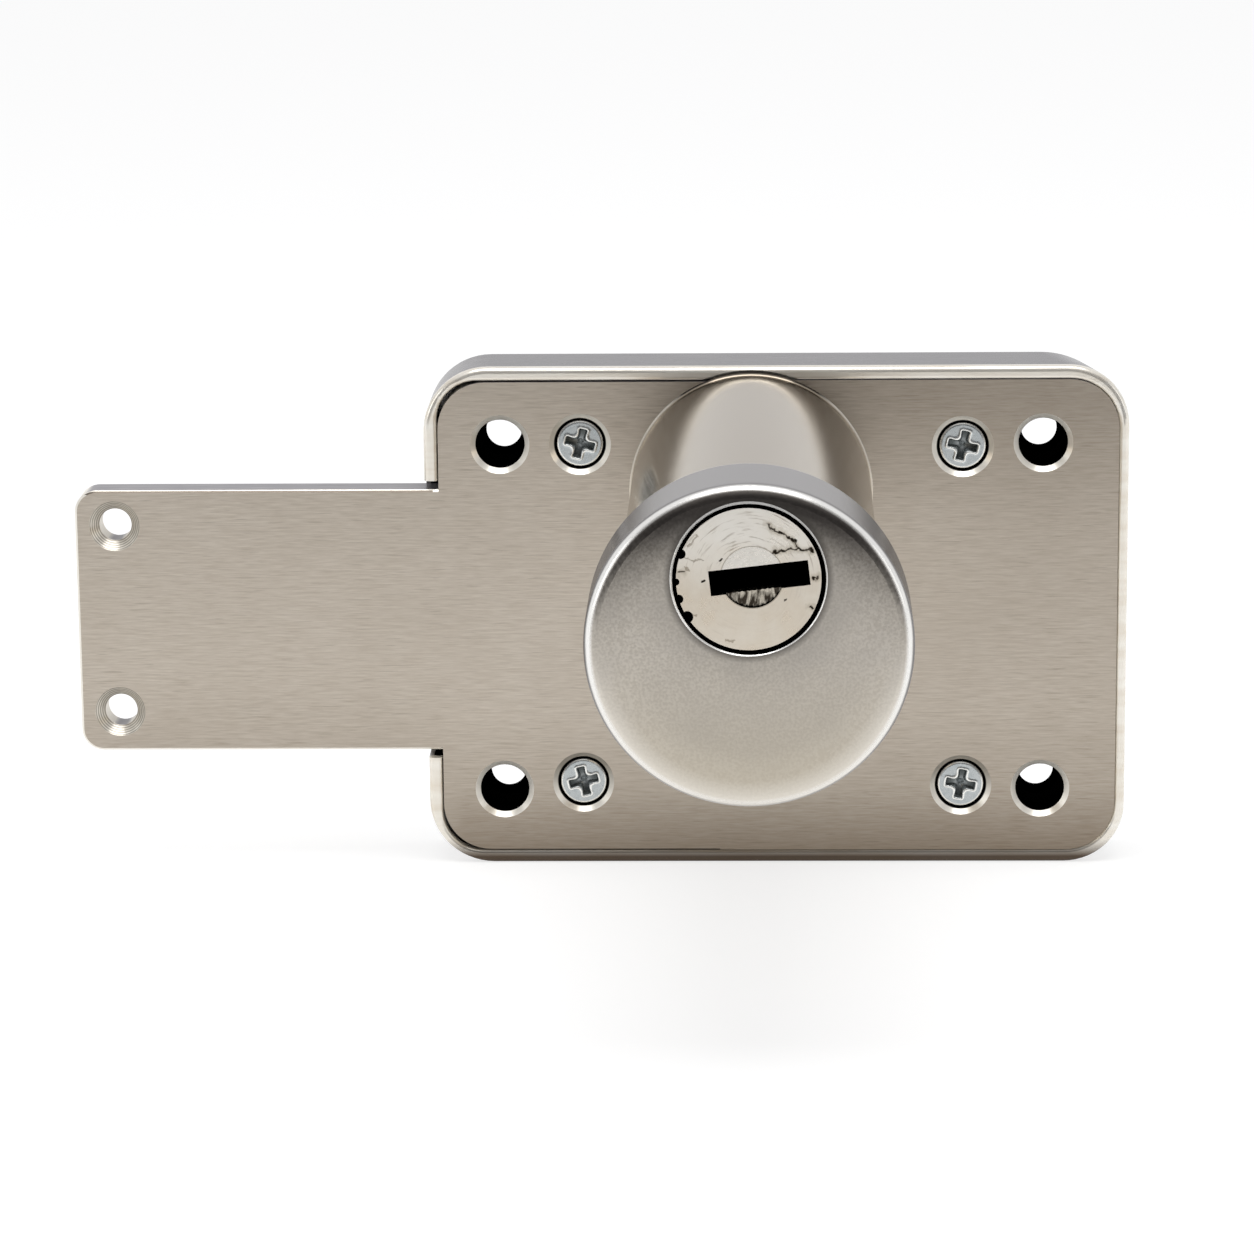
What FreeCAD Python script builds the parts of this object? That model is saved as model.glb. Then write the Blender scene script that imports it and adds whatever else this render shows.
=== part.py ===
import FreeCAD, Part
import math
import os

# Three-turn door lock. Millimetres, X to the right along the tongue and bolt,
# Y into the case from the key side, Z up. The origin is the centre of the case's back face.

# Case: a shallow box, open towards the key side
case_width = 80.0
case_height = 58.0
case_depth = 10.0
case_left_radius = 7.4
case_right_radius = 6.9
case_back_right_radius = 9.7
side_wall = 1.5
right_wall = 1.1
back_wall = 1.2
rim_depth = 1.2
rim_round = 0.65
rim_inner_round = 0.4
back_round = 0.5
pocket_corner_radius = 4.6
right_pocket_radius = 5.6
back_pocket_right_radius = 8.4
cut_overshoot = 1.0

# Front plate: the cover and its tongue are one piece
plate_thickness = 4.0
plate_gap = 0.15
tight_gap = 0.03
tight_side_start = -6.5
plate_corner_extra = 0.8
tongue_reach = 40.0
tongue_height = 30.5
tongue_drop = 0.25
tongue_corner_radius = 2.5
tongue_edge_chamfer = 0.25
notch_gap = 1.0

# Holes that fix the lock to the door, placed from the case's outer edges
corner_hole_inset_left = 8.7
corner_hole_inset_right = 9.7
corner_hole_inset_z = 8.8
corner_hole_radius = 2.775
corner_hole_chamfer = 0.6
back_hole_radius = 2.05
sleeve_wall = 0.75
tongue_hole_spacing = 21.8
tongue_hole_inset = 4.5
tongue_hole_radius = 1.85
tongue_hole_countersink = 1.05

# Cover screws and the posts they enter, placed from the case's outer edges
screw_inset_left = 17.8
screw_inset_right = 18.8
screw_inset_z = 9.2
left_screw_rise = 0.4
screw_head_radius = 2.6
screw_head_sink = 0.55
screw_head_rim = 0.75
screw_shank_radius = 1.45
screw_thread_gap = 0.05
screw_head_gap = 0.2
screw_ring_chamfer = 0.72
screw_post_wall = 1.8
screw_end_cover = 0.4
cross_recess_radius = 1.7
cross_recess_depth = 1.3
cross_arm_width = 0.85
screw_turns = (-15.0, -13.0, 14.0, -10.0)

# Barrel that carries the cylinder, and the head on its end
barrel_radius = 13.6
barrel_inset_left = 37.2
barrel_inset_top = 14.5
barrel_reach = 66.0
barrel_foot_flare = 0.25
rim_relief_gap = 0.55
rim_relief_depth = 1.0
head_radius = 16.3
head_length = 12.0
head_front_wall = 3.0
head_front_round = 1.5
head_flat_radius = 10.5
head_edge_slope = 7.0
head_back_round = 0.5
head_fit_gap = 0.02
barrel_screw_radius = 2.0
barrel_screw_head_radius = 3.7
barrel_screw_bite = 8.0
barrel_screw_side = 8.5
barrel_screw_drop = 4.0

# Plug that the key turns
plug_rise = 7.0
plug_radius = 5.4
plug_length = 35.0
plug_running_gap = 0.05
plug_flange_radius = 7.1
plug_flange_gap = 0.3
plug_ring_chamfer = 0.3
plug_face_sink = 0.05
key_slot_width = 9.8
key_slot_height = 2.5
key_slot_offset_x = 1.05
key_slot_offset_z = 0.0
key_slot_depth = 32.5
key_slot_tilt = 6.5
insert_radius = 3.05
insert_offset_x = 0.34
insert_offset_z = 0.2
insert_depth = 2.0
insert_fit_gap = 0.01
insert_lower_sink = 0.45
insert_groove_width = 0.22
insert_groove_pitch = 0.5
# Chips in the flange's edge: direction from the axis in degrees, and size
flange_chips = ((159, 0.5), (182, 0.35), (196, 0.45), (212, 0.6))

# Pin stacks below the plug
pin_count = 5
first_pin_depth = 14.5
pin_pitch = 4.0
pin_radius = 1.45
pin_running_gap = 0.05
key_pin_top_gap = 0.15
shear_gap = 0.1
driver_pin_length = 4.9
pin_edge_chamfer = 0.3
chamber_plug_length = 2.0
chamber_plug_sink = 0.12
spring_mean_radius = 1.0
spring_wire_radius = 0.17
spring_turns = 6
spring_steps = 10
spring_sides = 6

# Screw that keeps the plug in the barrel
retainer_back_inset = 2.5
retainer_tip_radius = 1.0
groove_side_gap = 0.05
groove_depth = 1.6
retainer_end_gap = 0.1

# Flat bar from the plug to the gears
tail_bar_width = 3.6
tail_bar_thickness = 1.6
tail_bar_seat = 4.0
tail_bar_gap = 0.03
tail_bore_gap = 0.4

# Gear train in the case
gear_module = 0.6
drive_teeth = 12
wheel_teeth = 36
rack_module = 0.8
rack_pinion_teeth = 10
pressure_angle = 25.0
tooth_addendum = 0.9
tooth_dedendum = 1.2
tooth_backlash = 0.1
gear_thickness = 1.5
drive_hub_radius = 3.0
hub_running_gap = 0.05
axle_radius = 1.5
axle_running_gap = 0.05
end_gap = 0.15
layer_gap = 0.2
pin_seat_in_back = 0.8
pin_seat_in_plate = 1.5
key_turns = 3

# Bolt, its opening and the studs it slides on
bolt_post_gap = 3.55
bolt_end_sink = 0.1
bolt_tip_round = 0.8
bolt_side_gap = 0.15
bolt_head_gap = 0.3
guide_pin_radius = 1.5
guide_slot_gap = 0.06
guide_pin_proud = 0.1
guide_pin_offset = 2.2
guide_pin_inset = 14.0
guide_slot_end = 0.2
bolt_tail_end = 2.5
rack_spare_gaps = 2
rack_end_pitches = 1.5

# Places worked out from the sizes above
left_x = -case_width / 2
right_x = case_width / 2
front_y = -case_depth
plate_back_y = front_y + plate_thickness
inner_back_y = -back_wall
pocket_left_x = left_x + side_wall
pocket_right_x = right_x - right_wall
pocket_half_height = case_height / 2 - side_wall
plate_left_x = pocket_left_x + plate_gap
tongue_end_x = left_x - tongue_reach
barrel_x = left_x + barrel_inset_left
barrel_z = case_height / 2 - barrel_inset_top
barrel_end_y = front_y - barrel_reach
head_face_y = barrel_end_y - head_length
seat_y = head_face_y + head_front_wall
plug_x = barrel_x
plug_z = barrel_z + plug_rise
plug_bore_radius = plug_radius + plug_running_gap
plug_face_y = head_face_y + plug_face_sink
plug_back_y = seat_y + plug_length
chamber_radius = pin_radius + pin_running_gap
chamber_floor_z = barrel_z - barrel_radius + chamber_plug_sink + chamber_radius ** 2 / barrel_radius
spring_floor_z = chamber_floor_z + chamber_plug_length
driver_top_z = plug_z - plug_radius - shear_gap
driver_bottom_z = driver_top_z - driver_pin_length
groove_y = plug_back_y - retainer_back_inset
groove_bottom_radius = plug_radius - groove_depth
tail_start_y = plug_back_y - tail_bar_seat
tail_bore_radius = math.hypot(tail_bar_width, tail_bar_thickness) / 2 + tail_bore_gap
gear_front_y = plate_back_y + end_gap
gear_back_y = gear_front_y + gear_thickness
bolt_front_y = gear_back_y + layer_gap
bolt_back_y = inner_back_y - end_gap
drive_pitch_radius = gear_module * drive_teeth / 2
wheel_pitch_radius = gear_module * wheel_teeth / 2
rack_pinion_pitch_radius = rack_module * rack_pinion_teeth / 2
axle_z = plug_z - drive_pitch_radius - wheel_pitch_radius
rack_z = axle_z - rack_pinion_pitch_radius
bolt_travel = key_turns * 2 * math.pi * rack_pinion_pitch_radius * drive_teeth / wheel_teeth
rack_tip_z = rack_z + tooth_addendum * rack_module
rack_root_z = rack_z - tooth_dedendum * rack_module
screw_post_radius = screw_shank_radius + screw_post_wall
bolt_half_height = case_height / 2 - screw_inset_z - screw_post_radius - bolt_post_gap
pin_start_y = inner_back_y + pin_seat_in_back
pin_end_y = plate_back_y - pin_seat_in_plate

along_y = FreeCAD.Vector(0, 1, 0)
along_z = FreeCAD.Vector(0, 0, 1)


def point(x, y, z):
    return FreeCAD.Vector(x, y, z)


def block(x0, x1, y0, y1, z0, z1):
    """Box between two corners."""
    return Part.makeBox(x1 - x0, y1 - y0, z1 - z0, point(x0, y0, z0))


def rod(radius, y0, y1, x, z):
    """Cylinder along Y from y0 to y1."""
    return Part.makeCylinder(radius, y1 - y0, point(x, y0, z), along_y)


def cone(radius0, radius1, y0, y1, x, z):
    """Cone along Y, with radius0 at y0 and radius1 at y1."""
    return Part.makeCone(radius0, radius1, y1 - y0, point(x, y0, z), along_y)


def upright(radius, z0, z1, x, y):
    """Cylinder along Z from z0 to z1."""
    return Part.makeCylinder(radius, z1 - z0, point(x, y, z0), along_z)


def turn_about_y(shape, angle, x, z):
    """Turn a shape anticlockwise, as seen from the key side."""
    shape.rotate(point(x, 0, z), along_y, -angle)
    return shape


def rounded_face(corners, y):
    """Flat face in the XZ plane from (x, z, radius) corners, each rounded by an arc."""
    starts, mids, ends = [], [], []
    count = len(corners)
    for i in range(count):
        x, z, radius = corners[i]
        here = point(x, y, z)
        back = (point(corners[i - 1][0], y, corners[i - 1][1]) - here).normalize()
        onward_corner = corners[(i + 1) % count]
        onward = (point(onward_corner[0], y, onward_corner[1]) - here).normalize()
        half_angle = back.getAngle(onward) / 2
        reach = radius / math.tan(half_angle)
        middle = (back + onward).normalize()
        starts.append(here + back * reach)
        mids.append(here + middle * (radius / math.sin(half_angle) - radius))
        ends.append(here + onward * reach)
    edges = []
    for i in range(count):
        if corners[i][2] > 0:
            edges.append(Part.Arc(starts[i], mids[i], ends[i]).toShape())
        edges.append(Part.LineSegment(ends[i], starts[(i + 1) % count]).toShape())
    return Part.Face(Part.Wire(edges))


def rounded_slab(corners, y0, y1):
    """Solid between y0 and y1 with a rounded outline."""
    return rounded_face(corners, y0).extrude(point(0, y1 - y0, 0))


def corner_pattern(inset_left, inset_right, inset_z, left_rise):
    """Four places near the case's corners: upper left, upper right, lower left, lower right."""
    reach = case_height / 2 - inset_z
    places = []
    for z in (reach, -reach):
        places.append((left_x + inset_left, z + left_rise))
        places.append((right_x - inset_right, z))
    return places


corner_places = corner_pattern(corner_hole_inset_left, corner_hole_inset_right, corner_hole_inset_z, 0)
screw_places = corner_pattern(screw_inset_left, screw_inset_right, screw_inset_z, left_screw_rise)
barrel_screw_places = [
    (barrel_x + side * barrel_screw_side, barrel_z - barrel_screw_drop) for side in (-1, 1)
]
tongue_places = [
    (tongue_end_x + tongue_hole_inset, side * tongue_hole_spacing / 2) for side in (-1, 1)
]
guide_pin_z = (rack_root_z - bolt_half_height) / 2
guide_places = [(plug_x - guide_pin_offset, guide_pin_z), (right_x - guide_pin_inset, guide_pin_z)]
pin_rows = [head_face_y + first_pin_depth + i * pin_pitch for i in range(pin_count)]


def case_pocket():
    """Room inside the case walls: the plate's seat at the front, rounder corners behind it."""
    half = pocket_half_height
    rooms = []
    for right_radius, y0, y1 in (
        (right_pocket_radius, front_y, plate_back_y),
        (back_pocket_right_radius, plate_back_y, inner_back_y),
    ):
        rooms.append(rounded_slab([
            (pocket_left_x, -half, pocket_corner_radius),
            (pocket_right_x, -half, right_radius),
            (pocket_right_x, half, right_radius),
            (pocket_left_x, half, pocket_corner_radius),
        ], y0, y1))
    return rooms[0].fuse(rooms[1])


def case_outline(right_radius, y):
    """Outline of the case at one depth; only its right corners change with the depth."""
    half = case_height / 2
    return rounded_face([
        (left_x, -half, case_left_radius),
        (right_x, -half, right_radius),
        (right_x, half, right_radius),
        (left_x, half, case_left_radius),
    ], y)


def case_blank():
    """Solid case: a bright round rim, and behind it walls whose right corners grow rounder to the back."""
    rim_end_y = front_y + rim_depth
    rim = case_outline(case_right_radius, front_y).extrude(point(0, rim_depth, 0))
    front_edges = [e for e in rim.Edges if e.BoundBox.YMax < front_y + 0.01]
    rim = rim.makeFillet(rim_round, front_edges)
    outlines = [case_outline(case_right_radius, rim_end_y), case_outline(case_back_right_radius, 0)]
    walls = Part.makeLoft([face.OuterWire for face in outlines], True, True)
    back_edges = [e for e in walls.Edges if e.BoundBox.YMin > -0.01]
    return rim.fuse(walls.makeFillet(back_round, back_edges)).removeSplitter()


def case_shell():
    """Case with its screw posts, the notch for the tongue and the opening for the bolt."""
    shell = case_blank().cut(case_pocket())
    seat_edges = [
        e
        for e in shell.Edges
        if e.BoundBox.YMax < front_y + 0.01 and e.BoundBox.ZMax < pocket_half_height + 0.01
        and e.BoundBox.ZMin > -pocket_half_height - 0.01 and e.BoundBox.XMin > pocket_left_x - 0.01
        and e.BoundBox.XMax < pocket_right_x + 0.01
    ]
    shell = shell.makeFillet(rim_inner_round, seat_edges)
    for x, z in screw_places:
        shell = shell.fuse(rod(screw_post_radius, plate_back_y, inner_back_y, x, z))
    boss_radius = tail_bore_radius
    shell = shell.fuse(rod(boss_radius, gear_back_y + end_gap, inner_back_y, plug_x, plug_z))
    tapped_end_y = inner_back_y - screw_end_cover / 2
    for x, z in screw_places:
        tapped_radius = screw_shank_radius + screw_thread_gap
        shell = shell.cut(rod(tapped_radius, plate_back_y, tapped_end_y, x, z))
    for x, z in corner_places:
        shell = shell.cut(rod(back_hole_radius, inner_back_y, 0, x, z))
    for x, z in guide_places:
        shell = shell.cut(rod(guide_pin_radius, inner_back_y, pin_start_y, x, z))
    shell = shell.cut(rod(axle_radius, inner_back_y, pin_start_y, plug_x, axle_z))
    notch_half = tongue_height / 2 + notch_gap
    notch = block(
        left_x - cut_overshoot, pocket_left_x, front_y, plate_back_y,
        -tongue_drop - notch_half, -tongue_drop + notch_half,
    )
    opening_half = bolt_half_height + bolt_side_gap
    opening_front = bolt_front_y - layer_gap / 2
    opening_back = bolt_back_y + end_gap / 2
    opening = block(
        pocket_right_x, right_x + cut_overshoot, opening_front, opening_back, -opening_half, opening_half
    )
    relief = rod(barrel_radius + rim_relief_gap, front_y, front_y + rim_relief_depth, barrel_x, barrel_z)
    return shell.cut(notch).cut(opening).cut(relief).removeSplitter()


def front_plate():
    """Cover plate and tongue, cut from one sheet."""
    loose_half = pocket_half_height - plate_gap
    tight_half = pocket_half_height - tight_gap
    plate_right_x = pocket_right_x - tight_gap
    left_radius = pocket_corner_radius + plate_corner_extra
    tongue_top = tongue_height / 2 - tongue_drop
    tongue_foot = -tongue_height / 2 - tongue_drop
    corners = [
        (tongue_end_x, tongue_foot, tongue_corner_radius),
        (plate_left_x, tongue_foot, 0),
        (plate_left_x, -loose_half, left_radius),
        (tight_side_start, -loose_half, 0),
        (tight_side_start, -tight_half, 0),
        (plate_right_x, -tight_half, right_pocket_radius),
        (plate_right_x, tight_half, right_pocket_radius),
        (tight_side_start, tight_half, 0),
        (tight_side_start, loose_half, 0),
        (plate_left_x, loose_half, left_radius),
        (plate_left_x, tongue_top, 0),
        (tongue_end_x, tongue_top, tongue_corner_radius),
    ]
    plate = rounded_slab(corners, front_y, plate_back_y)
    tongue_edges = [
        e
        for e in plate.Edges
        if e.BoundBox.YMax < front_y + 0.01 and e.BoundBox.XMax < plate_left_x + 0.01
        and e.BoundBox.ZMin > tongue_foot - 0.01 and e.BoundBox.ZMax < tongue_top + 0.01
    ]
    plate = plate.makeChamfer(tongue_edge_chamfer, tongue_edges)
    for x, z in corner_places:
        wide = corner_hole_radius + corner_hole_chamfer
        plate = plate.cut(rod(corner_hole_radius, front_y, plate_back_y, x, z))
        plate = plate.cut(cone(wide, corner_hole_radius, front_y, front_y + corner_hole_chamfer, x, z))
    for x, z in tongue_places:
        wide = tongue_hole_radius + tongue_hole_countersink
        sunk_y = front_y + tongue_hole_countersink
        plate = plate.cut(rod(tongue_hole_radius, front_y, plate_back_y, x, z))
        plate = plate.cut(cone(wide, tongue_hole_radius, front_y, sunk_y, x, z))
    for x, z in screw_places:
        plate = plate.cut(screw_seat(x, z))
    for x, z in barrel_screw_places:
        plate = plate.cut(barrel_screw(x, z))
    plate = plate.cut(rod(drive_hub_radius + hub_running_gap, front_y, plate_back_y, plug_x, plug_z))
    return plate.cut(rod(axle_radius, pin_end_y, plate_back_y, plug_x, axle_z)).removeSplitter()


def screw_seat(x, z):
    """Hole for a cover screw: bright chamfer, straight mouth, conical seat and clearance hole."""
    mouth = screw_head_radius + screw_head_gap
    seat_top_y = front_y + screw_head_sink + screw_head_rim - screw_head_gap
    hole = screw_shank_radius + screw_thread_gap
    seat_bottom_y = seat_top_y + mouth - hole
    seat = rod(mouth, front_y, seat_top_y, x, z)
    seat = seat.fuse(cone(mouth + screw_ring_chamfer, mouth, front_y, front_y + screw_ring_chamfer, x, z))
    seat = seat.fuse(cone(mouth, hole, seat_top_y, seat_bottom_y, x, z))
    return seat.fuse(rod(hole, seat_bottom_y - 0.01, plate_back_y, x, z))


def cover_screw(x, z, angle):
    """Countersunk screw with a cross recess; its fine thread is left off."""
    top_y = front_y + screw_head_sink
    rim_y = top_y + screw_head_rim
    neck_y = rim_y + screw_head_radius - screw_shank_radius
    tip_y = inner_back_y - screw_end_cover
    screw = rod(screw_head_radius, top_y, rim_y, x, z)
    screw = screw.fuse(cone(screw_head_radius, screw_shank_radius, rim_y, neck_y, x, z))
    screw = screw.fuse(rod(screw_shank_radius, neck_y, tip_y, x, z))
    reach = cross_recess_radius
    half = cross_arm_width / 2
    floor_y = top_y + cross_recess_depth
    arms = block(x - reach, x + reach, top_y, floor_y, z - half, z + half)
    arms = arms.fuse(block(x - half, x + half, top_y, floor_y, z - reach, z + reach))
    recess = arms.common(cone(reach, half, top_y, floor_y, x, z))
    return screw.cut(turn_about_y(recess, angle, x, z)).removeSplitter()


def cover_screws():
    """The four screws that hold the plate to the case."""
    screws = [cover_screw(x, z, turn) for (x, z), turn in zip(screw_places, screw_turns)]
    return Part.makeCompound(screws)


def mounting_sleeves():
    """Tubes that line the corner holes between the plate and the back wall."""
    sleeves = []
    for x, z in corner_places:
        outer = rod(corner_hole_radius + sleeve_wall, plate_back_y, inner_back_y, x, z)
        sleeves.append(outer.cut(rod(corner_hole_radius, plate_back_y, inner_back_y, x, z)))
    return Part.makeCompound(sleeves)


def barrel_housing():
    """Long round barrel with the plug bore above its own axis and the pin chambers below it."""
    barrel = rod(barrel_radius, seat_y, front_y, barrel_x, barrel_z)
    foot = barrel_radius + barrel_foot_flare
    barrel = barrel.fuse(cone(barrel_radius, foot, front_y - barrel_foot_flare, front_y, barrel_x, barrel_z))
    barrel = barrel.cut(rod(plug_bore_radius, seat_y, plug_back_y + end_gap, plug_x, plug_z))
    barrel = barrel.cut(rod(tail_bore_radius, plug_back_y, front_y, plug_x, plug_z))
    under_z = barrel_z - barrel_radius - cut_overshoot
    for y in pin_rows + [groove_y]:
        barrel = barrel.cut(upright(chamber_radius, under_z, plug_z, plug_x, y))
    for x, z in barrel_screw_places:
        hole_end_y = front_y - barrel_screw_bite - end_gap
        barrel = barrel.cut(rod(barrel_screw_radius, hole_end_y, front_y, x, z))
    return barrel.removeSplitter()


def barrel_screw(x, z):
    """Countersunk screw from the back of the plate into the barrel."""
    head_depth = barrel_screw_head_radius - barrel_screw_radius
    screw = rod(barrel_screw_radius, front_y - barrel_screw_bite, plate_back_y - head_depth, x, z)
    return screw.fuse(
        cone(barrel_screw_radius, barrel_screw_head_radius, plate_back_y - head_depth, plate_back_y, x, z)
    )


def barrel_screws():
    """The two screws that hold the barrel to the plate, each with a driver slot."""
    screws = []
    for x, z in barrel_screw_places:
        reach = barrel_screw_head_radius
        half = cross_arm_width / 2
        slot = block(x - reach, x + reach, plate_back_y - half, plate_back_y, z - half, z + half)
        screws.append(barrel_screw(x, z).cut(slot))
    return Part.makeCompound(screws)


def head_blank():
    """Solid head turned about the barrel's axis: flat middle, falling away to a rounded front edge."""
    slope = math.radians(head_edge_slope)
    round_reach = head_radius - head_front_round
    dome_end = round_reach + head_front_round * math.sin(slope)
    dome_radius = (dome_end - head_flat_radius) / math.sin(slope)
    dome_fall = dome_radius * (1 - math.cos(slope))
    side_start_y = head_face_y + dome_fall + head_front_round * math.cos(slope)
    middle = (slope + math.pi / 2) / 2

    def at(reach, y):
        return point(barrel_x + reach, y, barrel_z)

    def on_dome(angle):
        return at(head_flat_radius + dome_radius * math.sin(angle), head_face_y + dome_radius * (1 - math.cos(angle)))

    def on_round(angle):
        return at(round_reach + head_front_round * math.sin(angle), side_start_y - head_front_round * math.cos(angle))

    profile = Part.Wire([
        Part.LineSegment(at(0, head_face_y), at(head_flat_radius, head_face_y)).toShape(),
        Part.Arc(at(head_flat_radius, head_face_y), on_dome(slope / 2), on_dome(slope)).toShape(),
        Part.Arc(on_dome(slope), on_round(middle), on_round(math.pi / 2)).toShape(),
        Part.LineSegment(on_round(math.pi / 2), at(head_radius, barrel_end_y)).toShape(),
        Part.LineSegment(at(head_radius, barrel_end_y), at(0, barrel_end_y)).toShape(),
        Part.LineSegment(at(0, barrel_end_y), at(0, head_face_y)).toShape(),
    ])
    return Part.Face(profile).revolve(at(0, 0), along_y, 360)


def barrel_head():
    """Round head that caps the barrel, with the offset hole for the plug."""
    head = head_blank()
    back = [e for e in head.Edges if e.BoundBox.YMin > barrel_end_y - 0.01]
    head = head.makeFillet(head_back_round, back)
    head = head.cut(rod(barrel_radius + head_fit_gap, seat_y, barrel_end_y, barrel_x, barrel_z))
    hole = plug_flange_radius + plug_flange_gap
    ring_y = head_face_y + plug_ring_chamfer
    head = head.cut(rod(hole, head_face_y, seat_y, plug_x, plug_z))
    return head.cut(cone(hole + plug_ring_chamfer, hole, head_face_y, ring_y, plug_x, plug_z))


def key_slot(x0, x1, y0, y1):
    """Tilted slot for a flat key, from x0 to x1 across the plug."""
    low = plug_z + key_slot_offset_z - key_slot_height / 2
    slot = block(plug_x + x0, plug_x + x1, y0, y1, low, low + key_slot_height)
    return turn_about_y(slot, key_slot_tilt, plug_x, plug_z)


def insert_seat(radius):
    """Round space for the hard insert in the plug's face."""
    x = plug_x + insert_offset_x
    z = plug_z + insert_offset_z
    return rod(radius, plug_face_y, plug_face_y + insert_depth, x, z)


def face_key_slot(y1):
    """Closed key slot in the face, from the face to y1."""
    slot_left = key_slot_offset_x - key_slot_width / 2
    return key_slot(slot_left, slot_left + key_slot_width, plug_face_y, y1)


def plug():
    """Plug with its flange, key slot, pin chambers, retaining groove and seat for the bar."""
    body_start_y = seat_y - plug_running_gap
    body = rod(plug_flange_radius, plug_face_y, body_start_y, plug_x, plug_z)
    for direction, size in flange_chips:
        turn = math.radians(direction)
        x = plug_x + plug_flange_radius * math.cos(turn)
        z = plug_z + plug_flange_radius * math.sin(turn)
        body = body.cut(Part.makeSphere(size, point(x, plug_face_y, z)))
    body = body.fuse(rod(plug_radius, body_start_y, plug_back_y, plug_x, plug_z))
    slot_left = key_slot_offset_x - key_slot_width / 2
    slot_end_y = plug_face_y + key_slot_depth
    body = body.cut(face_key_slot(slot_end_y))
    body = body.cut(key_slot(slot_left, plug_radius + 1, body_start_y, slot_end_y))
    body = body.cut(insert_seat(insert_radius + insert_fit_gap))
    for y in pin_rows:
        body = body.cut(upright(chamber_radius, plug_z - plug_radius - 1, plug_z, plug_x, y))
    groove_half = retainer_tip_radius + groove_side_gap
    groove = rod(plug_radius + 1, groove_y - groove_half, groove_y + groove_half, plug_x, plug_z)
    groove = groove.cut(rod(groove_bottom_radius, groove_y - groove_half, groove_y + groove_half, plug_x, plug_z))
    body = body.cut(groove)
    return body.cut(tail_slot(tail_start_y, plug_back_y)).removeSplitter()


def plug_face_insert():
    """Hard insert in the plug's face, parted by the key slot; the lower part is sunk and ridged."""
    whole = insert_seat(insert_radius)
    halves = whole.cut(face_key_slot(plug_face_y + insert_depth))
    upper, lower = sorted(halves.Solids, key=lambda s: -s.CenterOfMass.z)
    sink = insert_seat(insert_radius + 1)
    sink.translate(point(0, insert_lower_sink - insert_depth, 0))
    lower = lower.cut(sink)
    floor_y = plug_face_y + insert_lower_sink
    steps = int(insert_radius / insert_groove_pitch)
    for i in range(-steps, steps + 1):
        x = plug_x + insert_offset_x + i * insert_groove_pitch
        half = insert_groove_width / 2
        ridge = block(x - half, x + half, floor_y, floor_y + 2 * half, plug_z - plug_radius, plug_z)
        lower = lower.cut(ridge)
    return Part.makeCompound([upper] + lower.Solids)


def tail_slot(y0, y1):
    """Slot that the flat bar fits, in the plug and in the drive pinion."""
    half_width = tail_bar_width / 2 + tail_bar_gap
    half_thickness = tail_bar_thickness / 2 + tail_bar_gap
    return block(
        plug_x - half_thickness, plug_x + half_thickness, y0, y1, plug_z - half_width, plug_z + half_width
    )


def tail_bar():
    """Flat bar that carries the plug's turn through the barrel and the plate."""
    half_width = tail_bar_width / 2
    half_thickness = tail_bar_thickness / 2
    return block(
        plug_x - half_thickness, plug_x + half_thickness,
        tail_start_y + tail_bar_gap, gear_back_y, plug_z - half_width, plug_z + half_width,
    )


def chamfered_pin(z0, z1, y):
    """Small pin along Z with both ends bevelled."""
    pin = upright(pin_radius, z0, z1, plug_x, y)
    rims = [e for e in pin.Edges if e.BoundBox.ZLength < 0.01]
    return pin.makeChamfer(pin_edge_chamfer, rims)


def key_pin(y):
    """Pin in the plug, whose lower end lies inside the plug's surface."""
    bottom = plug_z - math.sqrt(plug_radius ** 2 - pin_radius ** 2)
    slot_floor = plug_z + key_slot_offset_z - key_slot_height / 2
    slot_drop = pin_radius * math.tan(math.radians(key_slot_tilt))
    return chamfered_pin(bottom, slot_floor - slot_drop - key_pin_top_gap, y)


def driver_pin(y):
    """Pin below the shear line, pushed up by its spring."""
    return chamfered_pin(driver_bottom_z, driver_top_z, y)


def pin_spring(y):
    """Coil spring between the chamber plug and the driver pin; its wire has flat facets."""
    count = spring_turns * spring_steps
    rise = (driver_bottom_z - spring_floor_z - 2 * spring_wire_radius) / count
    corners = []
    for i in range(count + 1):
        turn = 2 * math.pi * i / spring_steps
        for side in range(spring_sides):
            around = 2 * math.pi * (side + 0.5) / spring_sides
            reach = spring_mean_radius + spring_wire_radius * math.cos(around)
            height = spring_floor_z + spring_wire_radius * (1 + math.sin(around)) + rise * i
            corners.append(point(plug_x + reach * math.cos(turn), y + reach * math.sin(turn), height))
    facets = []
    last = count * spring_sides
    for side in range(1, spring_sides - 1):
        facets.append((0, side + 1, side))
        facets.append((last, last + side, last + side + 1))
    for i in range(count):
        for side in range(spring_sides):
            here = i * spring_sides + side
            beside = i * spring_sides + (side + 1) % spring_sides
            facets.append((here, beside, beside + spring_sides))
            facets.append((here, beside + spring_sides, here + spring_sides))
    shell = Part.Shape()
    shell.makeShapeFromMesh((corners, facets), 0.001)
    coil = Part.Solid(Part.Shell(shell.Faces))
    if coil.Volume < 0:
        coil.reverse()
    return coil


def chamber_plugs():
    """Pressed plugs that close the chambers from below."""
    return Part.makeCompound(
        [upright(chamber_radius, chamber_floor_z, spring_floor_z, plug_x, y) for y in pin_rows]
    )


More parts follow.
